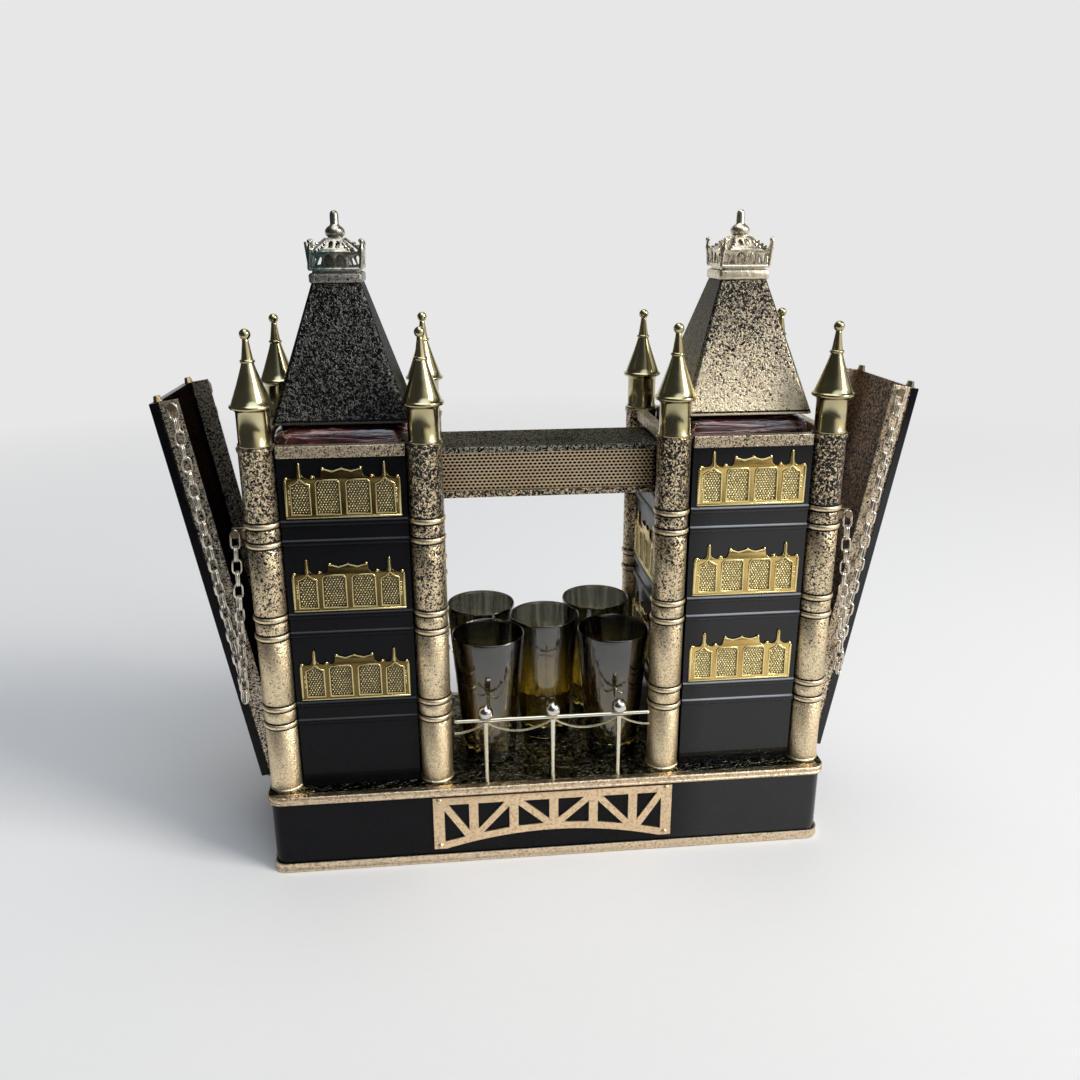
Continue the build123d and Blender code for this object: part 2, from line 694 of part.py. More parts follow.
def gallery():
    """Posts, a bar with a ball over each post, and wire swags, along both long edges of the deck."""
    post_top = DECK_TOP + GALLERY_BAR_HEIGHT
    bar_top = post_top + GALLERY_BAR_SIZE
    radius = GALLERY_BALL_RADIUS
    centre = bar_top + GALLERY_BALL_NECK + radius / 2
    half = radius / math.sqrt(2)
    post = turned([(DECK_TOP, GALLERY_POST_RADIUS), (post_top, GALLERY_POST_RADIUS)], POST_SIDES)
    ball = turned(
        [
            (bar_top, GALLERY_BALL_NECK / 2),
            (centre - half, half),
            (centre, radius),
            (centre + half, half),
            (centre + radius, radius / 5),
        ],
        BALL_SIDES,
    )
    bar = block(
        -GALLERY_BAR_HALF_LENGTH,
        GALLERY_BAR_HALF_LENGTH,
        -GALLERY_BAR_SIZE / 2,
        GALLERY_BAR_SIZE / 2,
        post_top,
        bar_top,
    )
    clear = GALLERY_POST_RADIUS + STEP
    end_start = GALLERY_POST_STEP + clear
    end_span = 2 * (GALLERY_BAR_HALF_LENGTH - end_start)
    middle = swag(clear, GALLERY_POST_STEP - 2 * clear, SWAG_STEPS)
    end = swag(end_start, end_span, SWAG_STEPS // 2)
    swags = [middle, end, mirrored(middle), mirrored(end)]
    front = GALLERY_FRONT_INSET - HALF_DEPTH
    rear = HALF_DEPTH - GALLERY_REAR_INSET
    rows = [Pos(0, front, 0), Pos(0, rear, 0)]
    places = [row * Pos(x, 0, 0) for row in rows for x in (-GALLERY_POST_STEP, 0, GALLERY_POST_STEP)]
    save("gallery_posts", *[place * post for place in places])
    save("gallery_balls", *[place * ball for place in places])
    save("gallery_bars", *[row * bar for row in rows])
    save("gallery_swags", *[row * piece for row in rows for piece in swags])


def girder_face():
    """A lattice girder with a straight top chord and an arched bottom one."""
    half = GIRDER_HALF_LENGTH
    top = DECK_TOP - DECK_SKIRT - GIRDER_TOP_GAP
    bottom = GIRDER_END_BOTTOM
    foot = 2 * RIVET_INSET
    outline = Polyline((-half + foot, bottom), (-half, bottom), (-half, top), (half, top), (half, bottom))
    outline += Line((half, bottom), (half - foot, bottom))
    outline += ThreePointArc(
        (half - foot, bottom), (0, bottom + GIRDER_ARCH_RISE), (foot - half, bottom)
    )
    plate = make_face(outline)
    reach = half - foot
    ceiling = top - GIRDER_CHORD
    unit = 2 * half / GIRDER_UNITS

    def sill(x):
        share = max(0.0, 1 - (x / reach) ** 2)
        return bottom + GIRDER_ARCH_RISE * share + GIRDER_CHORD

    for number in range(GIRDER_UNITS):
        left = -half + unit * number
        middle = left + unit / 2
        for edge in (left, left + unit):
            inward = math.copysign(GIRDER_STRUT / 2, middle - edge)
            end = edge + (2 * inward if abs(edge) > half - 1 else inward)
            near = middle - inward
            bay = make_face(
                Polyline((end, sill(end)), (end, ceiling), (near, ceiling), (near, sill(near)), close=True)
            )
            run = near - end
            drop = ceiling - sill(near)
            length = math.hypot(run, drop)
            brace = Pos((end + near) / 2, (ceiling + sill(near)) / 2)
            brace *= Rot(0, 0, math.degrees(math.atan2(-drop, run)))
            plate -= bay - brace * Rectangle(2 * length, GIRDER_STRUT * 0.85)
    return plate


def girders():
    """The lattice girder on each long side of the plinth, and its corner rivets."""
    face_y = HALF_DEPTH - PLINTH_INSET
    plate = Pos(0, -face_y, 0) * extrude(Plane.XZ * girder_face(), GIRDER_SHEET)
    rivet = turned([(0, RIVET_RADIUS), (RIVET_HEIGHT, RIVET_RADIUS / 2)], RIVET_SIDES)
    top = DECK_TOP - DECK_SKIRT - GIRDER_TOP_GAP
    rivets = []
    for x in (RIVET_INSET - GIRDER_HALF_LENGTH, GIRDER_HALF_LENGTH - RIVET_INSET):
        for z in (GIRDER_END_BOTTOM + RIVET_RADIUS + STEP, top - RIVET_RADIUS):
            place = Pos(x, -face_y - GIRDER_SHEET, z) * Rot(90, 0, 0)
            rivets.extend(front_and_back(place * rivet))
    front, rear = front_and_back(plate)
    save("girder_front", front)
    save("girder_rear", rear)
    save("girder_rivets", *rivets)


def folded(piece, fold=LEAF_FOLD):
    """A piece of the right span, drawn flat from the hinge axis, folded up at its hinge."""
    return Pos(HINGE_X, 0, HINGE_Z) * Rot(0, -fold, 0) * piece


def on_both_sides(piece, side):
    """The piece of the right end, or its mirror image on the left end."""
    return piece if side == "right" else mirrored(piece)


def knuckle(width, centre_y):
    """A hinge knuckle along Y, with a bore for the round pin."""
    barrel = turned([(-width / 2, KNUCKLE_RADIUS), (width / 2, KNUCKLE_RADIUS)], KNUCKLE_SIDES)
    bore_radius = HINGE_PIN_RADIUS / math.cos(math.pi / KNUCKLE_SIDES) + HINGE_PIN_PLAY
    bore = turned([(-width / 2, bore_radius), (width / 2, bore_radius)], KNUCKLE_SIDES)
    return Pos(0, centre_y, 0) * Rot(90, 0, 0) * (barrel - bore)


def hinges():
    """The fixed knuckles on the end of the deck tray, and the pins."""
    half = SPAN_KNUCKLE / 2 + KNUCKLE_GAP
    centre = half + BASE_KNUCKLE / 2
    plates = []
    pins = []
    for y in (-centre, centre):
        barrel = knuckle(BASE_KNUCKLE, y)
        face = -KNUCKLE_RADIUS - HINGE_END_GAP
        plate = block(
            face,
            face + HINGE_PLATE,
            y - BASE_KNUCKLE / 2,
            y + BASE_KNUCKLE / 2,
            KNUCKLE_RADIUS - DECK_SKIRT,
            0,
        )
        right = Pos(HINGE_X, 0, HINGE_Z) * (barrel + plate)
        plates.extend([right, mirrored(right)])
    length = 2 * centre + BASE_KNUCKLE
    right_pin = Pos(HINGE_X, 0, HINGE_Z) * Rot(90, 0, 0) * Cylinder(HINGE_PIN_RADIUS, length)
    pins.extend([right_pin, mirrored(right_pin)])
    save("hinge_plates", *plates)
    save("hinge_pins", *pins)


def leaf(side):
    """One hinged span: board, brass roadway with its knuckle, parapets, and studs with the chain pins."""
    half = LEAF_WIDTH / 2
    board = block(LEAF_ROOT, LEAF_TIP, -half, half, BOARD_TOP - LEAF_BOARD, BOARD_TOP)
    roadway = block(LEAF_ROOT, LEAF_TIP, -half, half, BOARD_TOP, ROADWAY_TOP)
    tab = block(0, LEAF_ROOT, -SPAN_KNUCKLE / 2, SPAN_KNUCKLE / 2, BOARD_TOP, ROADWAY_TOP)
    roadway = roadway + tab + knuckle(SPAN_KNUCKLE, 0)
    rail_top = ROADWAY_TOP + PARAPET_HEIGHT
    rail = make_face(
        Polyline(
            (LEAF_ROOT, ROADWAY_TOP),
            (LEAF_ROOT, ROADWAY_TOP + PARAPET_ROOT_HEIGHT),
            (LEAF_ROOT + PARAPET_RAMP, rail_top),
            (LEAF_TIP, rail_top),
            (LEAF_TIP, ROADWAY_TOP),
            close=True,
        )
    )
    parapet = Pos(0, PARAPET_SHEET - half, 0) * extrude(Plane.XZ * rail, PARAPET_SHEET)
    stud = turned([(0, STUD_RADIUS), (STUD_LENGTH, STUD_RADIUS * STUD_TAPER)], STUD_SIDES)
    stud = Pos(LEAF_TIP, STUD_EDGE - half, BOARD_TOP) * Rot(0, 90, 0) * stud
    pin = Pos(LEAF_TIP - EYE_INSET, -half, EYE_HEIGHT) * chain_pin(LONG_STRAND_Y - half)
    save(f"leaf_{side}_board", on_both_sides(folded(board), side))
    save(f"leaf_{side}_roadway", on_both_sides(folded(roadway), side))
    rails = [on_both_sides(folded(piece), side) for piece in front_and_back(parapet)]
    save(f"leaf_{side}_parapets", *rails)
    studs = [on_both_sides(folded(twin), side) for piece in (stud, pin) for twin in front_and_back(piece)]
    save(f"leaf_{side}_studs", *studs)


def chain_pin(reach):
    """A headed pin along -Y from the origin, whose shank passes a link at this reach."""
    shank = reach + LINK_WIRE / 2 + STEP
    pin = turned(
        [
            (0, CHAIN_PIN_RADIUS),
            (shank, CHAIN_PIN_RADIUS),
            (shank + STEP, CHAIN_PIN_HEAD),
            (shank + CHAIN_PIN_HEAD_SHEET, CHAIN_PIN_HEAD),
        ],
        CHAIN_PIN_SIDES,
    )
    return Rot(90, 0, 0) * pin


def brackets():
    """The chain brackets on the outer columns: a foot cut to the column, an arm and a headed pin."""
    face = COLUMN_OUTSIDE
    arm_y = -SHORT_STRAND_Y + LINK_WIDTH / 2 + CHAIN_CLEARANCE
    inner = arm_y + BRACKET_ARM
    low = BRACKET_HEIGHT - BRACKET_HALF
    high = BRACKET_HEIGHT + BRACKET_HALF
    foot_end = -HALF_SPACING_Y - BRACKET_HALF
    foot = block(face, face + RING_PROUD + BRACKET_FOOT, foot_end, inner, low, high)
    arm = block(face, BRACKET_PIN_X + BRACKET_HALF, arm_y, inner, low, high)
    pin = Pos(BRACKET_PIN_X, arm_y, BRACKET_HEIGHT) * chain_pin(SHORT_STRAND_Y + arm_y)
    outer_column = Pos(TOWER_X + HALF_SPACING_X, -HALF_SPACING_Y, 0) * column()
    right = foot + arm + pin - outer_column
    pieces = front_and_back(right)
    save("chain_brackets", *pieces, *[mirrored(piece) for piece in pieces])


def link(inside):
    """A link along Z, six-cornered, of triangular wire, drawn in the XZ plane."""
    half_out = inside / 2 + LINK_WIRE
    half_in = inside / 2
    wide_out = LINK_WIDTH / 2
    wide_in = wide_out - LINK_WIRE
    bend = wide_out * LINK_BEND_SHARE
    outer = [(0, half_out), (wide_out, half_out - bend), (wide_out, bend - half_out)]
    inner = [(0, half_in), (wide_in, half_in - bend * wide_in / wide_out)]
    inner.append((wide_in, bend * wide_in / wide_out - half_in))
    outer += [(-x, -z) for x, z in outer]
    inner += [(-x, -z) for x, z in inner]
    ridge = [Vector(x, 0, z) for x, z in outer]
    front = [Vector(x, -LINK_WIRE / 2, z) for x, z in inner]
    back = [Vector(x, LINK_WIRE / 2, z) for x, z in inner]
    faces = []
    for number in range(len(ridge)):
        after = (number + 1) % len(ridge)
        for first, second in ((ridge, front), (ridge, back), (front, back)):
            faces.append(flat_face([first[number], first[after], second[after], second[number]]))
    return Solid(Shell(faces))


def hang_drop(inside):
    """How far the middle of a link hangs below the pin that it hangs on."""
    return inside / 2 - CHAIN_PIN_RADIUS / math.cos(math.pi / CHAIN_PIN_SIDES) - STEP


def strand(first_inside, count):
    """A hanging row of links below a pin at the origin, each turned by about a quarter from the last.

    The row twists a little with every link, until all of them stand half across."""
    drop = hang_drop(first_inside)
    links = [Pos(0, 0, -drop) * link(first_inside)]
    drop += (first_inside + LINK_INSIDE) / 2 - LINK_PLAY
    plain = link(LINK_INSIDE)
    for number in range(1, count):
        quarter = 90 if number % 2 else 0
        twist = min(LINK_TWIST, LINK_TWIST_STEP * number)
        links.append(Pos(0, 0, -drop) * Rot(0, 0, quarter - twist) * plain)
        drop += LINK_PITCH
    return links


def strand_length(first_inside, count):
    """The length from a strand's pin to the lower inner end of its last link."""
    rest = (first_inside + LINK_INSIDE) / 2 - LINK_PLAY + (count - 2) * LINK_PITCH
    return hang_drop(first_inside) + rest + LINK_INSIDE / 2


def strand_leans(eye, pin):
    """How far each strand leans from upright where the two meet, in degrees."""
    long = strand_length(LINK_INSIDE, LONG_STRAND_COUNT)
    short = strand_length(TONGUE_INSIDE, SHORT_STRAND_COUNT)
    across = eye[0] - pin[0]
    up = eye[1] - pin[1]
    apart = math.hypot(across, up)
    cosine = (apart**2 + short**2 - long**2) / (2 * apart * short)
    line = math.atan2(across, -up)
    short_lean = max(0.0, line - math.acos(max(-1.0, min(1.0, cosine))))
    meet_x = pin[0] + short * math.sin(short_lean)
    meet_z = pin[1] - short * math.cos(short_lean)
    long_lean = math.atan2(eye[0] - meet_x, eye[1] - meet_z)
    return math.degrees(long_lean), math.degrees(short_lean)


def chains():
    """Both strands of the four chains, hung as they are when the spans are folded up."""
    eye = folded(Pos(LEAF_TIP - EYE_INSET, 0, EYE_HEIGHT)).position
    long_lean, short_lean = strand_leans((eye.X, eye.Z), (BRACKET_PIN_X, BRACKET_HEIGHT))
    long_place = Pos(eye.X, -LONG_STRAND_Y, eye.Z) * Rot(0, long_lean, 0)
    short_place = Pos(BRACKET_PIN_X, -SHORT_STRAND_Y, BRACKET_HEIGHT) * Rot(0, -short_lean, 0)
    strands = {
        "long": (long_place, strand(LINK_INSIDE, LONG_STRAND_COUNT)),
        "short": (short_place, strand(TONGUE_INSIDE, SHORT_STRAND_COUNT)),
    }
    for side in SIDES:
        for name, (place, links) in strands.items():
            pieces = [twin for piece in links for twin in front_and_back(place * piece)]
            save(f"chain_{side}_{name}", *[on_both_sides(piece, side) for piece in pieces])


base()
for side in SIDES:
    tower(side)
    tower_contents(side)
    leaf(side)
walkway()
glasses()
gallery()
girders()
hinges()
brackets()
chains()
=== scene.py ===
import math

import bpy
import bmesh
from mathutils import Matrix, Vector


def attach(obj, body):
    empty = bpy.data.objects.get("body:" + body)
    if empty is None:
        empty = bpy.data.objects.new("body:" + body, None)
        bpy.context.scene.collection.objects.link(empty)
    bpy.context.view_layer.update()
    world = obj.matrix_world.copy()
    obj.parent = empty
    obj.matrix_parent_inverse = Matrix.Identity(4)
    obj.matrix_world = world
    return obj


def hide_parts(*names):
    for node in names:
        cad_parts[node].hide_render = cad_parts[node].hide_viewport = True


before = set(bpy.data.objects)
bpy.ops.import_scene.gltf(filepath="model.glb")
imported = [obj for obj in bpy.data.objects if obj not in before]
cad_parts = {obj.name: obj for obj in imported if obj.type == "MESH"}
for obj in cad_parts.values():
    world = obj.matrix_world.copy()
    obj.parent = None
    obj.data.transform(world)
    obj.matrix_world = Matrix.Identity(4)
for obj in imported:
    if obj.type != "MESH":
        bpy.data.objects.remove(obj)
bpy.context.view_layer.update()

# All sizes are in millimetres, in the frame of the solids, and become metres when a piece is made.
MM = 0.001
SIDES = {"left": -1, "right": 1}

# The camera, where the photograph was taken from
CAMERA_PLACE = (-52.48, -501.60, 328.45)
CAMERA_YAW = 0.1016
CAMERA_PITCH = 0.3143
CAMERA_ROLL = -0.0035
CAMERA_LENS = 31.92

# What surrounds the object: a pale backdrop behind it, a bright window on the right, sky above
PAPER = (0.80, 0.80, 0.80, 1.0)
WINDOW = (0.95, 0.90, 0.82, 1.0)
SKY = (1.5, 1.72, 2.0, 1.0)
DARK_ROOM = (0.05, 0.05, 0.05, 1.0)
TABLE_EDGE = (0.36, 0.74)
TABLE_HALF = 14.0

# Base
BASE_LENGTH = 303.0
BASE_DEPTH = 113.0
BASE_CORNER = 8.0
TRAY_SHEET = 1.4
TRAY_GAP = 0.3
FOOT_SKIRT = 5.0
DECK_TOP = 45.5
DECK_SKIRT = 4.5
DECK_MARGIN = 52.0
CORNER_STEPS = 10

# Towers
TOWER_X = 102.0
SPACING_X = 40.0
SPACING_Y = 41.2
COLUMN_RADIUS = 8.5
COLUMN_TOP = 230.2
FINIAL_BALL = 282.65
RING_LEVELS = (93.6, 143.0, 191.8)
RING_STEP = 10.0
RINGS = [level - step for level in RING_LEVELS for step in (RING_STEP, 0.0)]
WALL_FACE_X = 43.3
WALL_FACE_Y = 44.5
WALL_WIDTH_X = 61.56
WALL_WIDTH_Y = 63.96
WALL_TOP = 224.3
WALL_SHEET = 3.0
MOULDING_PROUD = 1.2
MOULDING_HALF = 1.7
PLAQUE_LIFT = 2.6
ROUND_SIDES = 48

# Walkway
WALKWAY_END = 58.7
WALKWAY_HALF = 21.0
WALKWAY_BOTTOM = 195.8
WALKWAY_TOP = 222.4
WALKWAY_SHEET = 1.3
MESH_CELL = 2.3
MESH_WIRE = 0.55
MESH_SQUASH = 0.8

# Decanters, roofs and crowns
DECANTER_SIDE = 68.0
SHOULDER_TOP = 236.0
NECK_BOTTOM = 243.0
NECK_TOP = 258.0
LIP_TOP = 262.0
ROOF_TOP = 303.5
ROOF_BOTTOM = 238.1
CROWN_BOTTOM = 309.5
CROWN_HALF = 12.6
CROWN_SHEET = 1.1
CROWN_LEAN = 5.0
GABLE_FOOT = 8.0
GABLE_LENGTH = 10.6
GABLE_LEAN = 52.0

# Glasses
GLASS_HEIGHT = 73.5
GLASS_FOOT = 14.1
GLASS_RIM = 19.9
GLASS_WALL = 1.4
GLASS_SIDES = 96
LOZENGES = 16
LOZENGE_HEIGHT = 9.0
LOZENGE_DEPTH = 0.4
GLASS_PLACES = {
    "glass_front_left": (-32.0, -19.0),
    "glass_front_right": (37.0, -20.0),
    "glass_centre": (1.5, 4.0),
    "glass_rear_left": (-34.0, 25.5),
    "glass_rear_right": (34.5, 27.5),
}

# Gallery
GALLERY_ROWS = (-51.0, 53.6)
GALLERY_POSTS = (-35.5, 0.0, 35.5)
GALLERY_BAR = 82.5
GALLERY_HALF = 52.0
SWAG_DROP = 6.0
SWAG_WIRE = 0.55
KNURL_PITCH = 1.3

# Girders
GIRDER_HALF = 65.0
GIRDER_BOTTOM = 8.5
GIRDER_TOP = 40.0
GIRDER_RISE = 8.0
GIRDER_REACH = 58.2
GIRDER_BACK = 54.8
GIRDER_SHEET = 1.2
GIRDER_CHORD = 4.4
GIRDER_POST = 6.0
GIRDER_STRUT = 5.0
GIRDER_BRACE = 3.9
GIRDER_UNITS = 3
RIVET_INSET = 3.4
RIVET_LEVELS = (10.4, 38.3)

# Chains
LINK_WIDTH = 5.2
LINK_INSIDE = 6.7
LINK_PITCH = 6.5
TONGUE_INSIDE = 8.4
LINKS_LONG = 24
LINKS_SHORT = 14
PIN_RADIUS = 0.924
LINK_STEP = 0.2
LINK_TWIST = 45.0
LINK_TWIST_STEP = 6.0
STRAND_WIRE = 0.95
LONG_PIN = (179.83, 35.45, 248.67)
LONG_LEAN = 7.455
SHORT_PIN = (155.9, 41.0, 186.6)
SHORT_LEAN = 2.379


def rgb(red, green, blue):
    return (red, green, blue, 1.0)


# Finishes, with places in metres
SHINY_RINGS = [height * MM for height in RINGS]
SHINY_EDGE = [ROOF_BOTTOM * MM]
LINE_REACH = 0.0011
# Half the height of the thin dark lines of painted shade beside each shiny line
GROOVE_SHADE_REACH = 0.00045
# Black of the embossed sheet's hollows, also used for the lines of painted shade beside the shiny lines
SOOT_AND_SHADE = rgb(0.010, 0.010, 0.011)
PLUM_DARK = rgb(0.035, 0.008, 0.008)
PLUM = rgb(0.13, 0.036, 0.034)
PLUM_HIGHLIGHT = rgb(0.50, 0.33, 0.29)
VERDIGRIS = rgb(0.06, 0.17, 0.16)
VERDIGRIS_PLACE = (-0.110, -0.014, 0.314)
VERDIGRIS_REACH = 0.009


class Shape:
    """Points in millimetres and faces, gathered before they become a piece."""

    def __init__(self, points=(), faces=()):
        self.points = [Vector(point) for point in points]
        self.faces = [list(face) for face in faces]

    def add(self, other, place=Matrix.Identity(4)):
        start = len(self.points)
        self.points += [place @ point for point in other.points]
        self.faces += [[start + number for number in face] for face in other.faces]
        return self

    def at(self, place):
        return Shape().add(self, place)


def shift(x, y, z):
    return Matrix.Translation((x, y, z))


def turn(degrees, axis):
    return Matrix.Rotation(math.radians(degrees), 4, axis)


def mirror(x, y):
    return Matrix.Diagonal((x, y, 1, 1))


# The front and rear of what is alike on both long sides
FACING = {"front": Matrix.Identity(4), "rear": turn(180, "Z")}


def piece(name, shape, finish, replaces, body="bridge", angle=40.0):
    """A finished piece on a body, with its finish and the nodes that it stands for."""
    mesh = bpy.data.meshes.new(name)
    mesh.from_pydata([point * MM for point in shape.points], [], shape.faces)
    work = bmesh.new()
    work.from_mesh(mesh)
    bmesh.ops.recalc_face_normals(work, faces=work.faces)
    work.to_mesh(mesh)
    work.free()
    mesh.shade_smooth()
    mesh.set_sharp_from_angle(angle=math.radians(angle))
    mesh.materials.append(MATERIALS[finish])
    made = placed(name, mesh)
    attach(made, body)
    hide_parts(*replaces)


def placed(name, data):
    """A new object of the scene."""
    made = bpy.data.objects.new(name, data)
    bpy.context.scene.collection.objects.link(made)
    return made


def dress(node, finish, bevel=0.0):
    """A better material, and softened edges, for a node that stays."""
    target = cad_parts[node]
    target.data.materials.clear()
    target.data.materials.append(MATERIALS[finish])
    if bevel:
        weld = target.modifiers.new("weld", "WELD")
        weld.merge_threshold = 0.00001
        rounding = target.modifiers.new("edges", "BEVEL")
        rounding.width = bevel * MM
        rounding.segments = 2
        rounding.limit_method = "ANGLE"
        rounding.angle_limit = math.radians(35)
        rounding.harden_normals = True


def loft(loops, close_low=True, close_high=True):
    """A skin through equal loops of points, with flat ends where they are closed."""
    count = len(loops[0])
    points = [point for loop in loops for point in loop]
    faces = []
    for low in range(0, len(points) - count, count):
        high = low + count
        for number in range(count):
            after = (number + 1) % count
            faces.append((low + number, low + after, high + after, high + number))
    if close_low:
        faces.append(tuple(reversed(range(count))))
    if close_high:
        faces.append(tuple(range(len(points) - count, len(points))))
    return Shape(points, faces)


def lathe(profile, sides=ROUND_SIDES):
    """A turning through (height, radius)."""
    steps = [2 * math.pi * number / sides for number in range(sides)]
    return loft([[(r * math.cos(step), r * math.sin(step), z) for step in steps] for z, r in profile])


def arc_profile(centre, across, up, start, end, steps):
    """Points (height, radius) on part of an ellipse in the plane of a turning's profile."""
    made = []
    for number in range(steps + 1):
        angle = math.radians(start + (end - start) * number / steps)
        made.append((centre[0] + up * math.sin(angle), centre[1] + across * math.cos(angle)))
    return made


def rounded_loop(length, depth, corner, height, steps):
    """A level rectangle with round corners."""
    corner = max(corner, 0.05)
    made = []
    for quarter, (sign_x, sign_y) in enumerate(((1, 1), (-1, 1), (-1, -1), (1, -1))):
        for number in range(steps + 1):
            angle = math.pi / 2 * (quarter + number / steps)
            x = sign_x * (length / 2 - corner) + corner * math.cos(angle)
            y = sign_y * (depth / 2 - corner) + corner * math.sin(angle)
            made.append((x, y, height))
    return made


def squares(rows, steps=4):
    """A skin through level squares, each given by its side, corner and height."""
    return loft([rounded_loop(side, side, corner, height, steps) for side, corner, height in rows])


def tube(path, radius, sides=8, closed=False):
    """A round wire along a path."""
    points = [Vector(point) for point in path]
    count = len(points)
    angles = [2 * math.pi * side / sides for side in range(sides)]
    loops = []
    normal = None
    for number, point in enumerate(points):
        before = points[number - 1] if number or closed else point
        after = points[(number + 1) % count] if number < count - 1 or closed else point
        along = (after - before).normalized()
        if normal is None:
            normal = along.orthogonal().normalized()
        normal = (normal - along * normal.dot(along)).normalized()
        across = along.cross(normal)
        loops.append([point + radius * (normal * math.cos(a) + across * math.sin(a)) for a in angles])
    if closed:
        return loft(loops + [loops[0]], False, False)
    return loft(loops)


def plate(outline, holes, low, high, bevel=0.1):
    """A flat plate in the XZ plane with holes, from depth low to depth high along -Y."""
    curve = bpy.data.curves.new("plate", "CURVE")
    curve.dimensions = "2D"
    curve.fill_mode = "BOTH"
    curve.extrude = (high - low) / 2 - bevel
    curve.bevel_depth = bevel
    curve.bevel_resolution = 1
    curve.offset = -bevel
    for ring in [outline, *holes]:
        spline = curve.splines.new("POLY")
        spline.points.add(len(ring) - 1)
        spline.use_cyclic_u = True
        for number, (x, z) in enumerate(ring):
            spline.points[number].co = (x, z, 0, 1)
    holder = placed("plate", curve)
    bpy.context.view_layer.update()
    mesh = bpy.data.meshes.new_from_object(holder)
    work = bmesh.new()
    work.from_mesh(mesh)
    bmesh.ops.remove_doubles(work, verts=work.verts, dist=0.001)
    middle = (low + high) / 2
    points = [(vertex.co.x, -middle - vertex.co.z, vertex.co.y) for vertex in work.verts]
    faces = [[vertex.index for vertex in face.verts] for face in work.faces]
    work.free()
    bpy.data.objects.remove(holder)
    bpy.data.curves.remove(curve)
    bpy.data.meshes.remove(mesh)
    return Shape(points, faces)


def mirrored(ring):
    return [(-x, z) for x, z in reversed(ring)]


def both_halves(half):
    """A closed outline from its right half, listed from the bottom up."""
    return half + [(x, z) for x, z in mirrored(half) if abs(x) > 0.001]


# Filled by the finishes, under their names
MATERIALS = {}


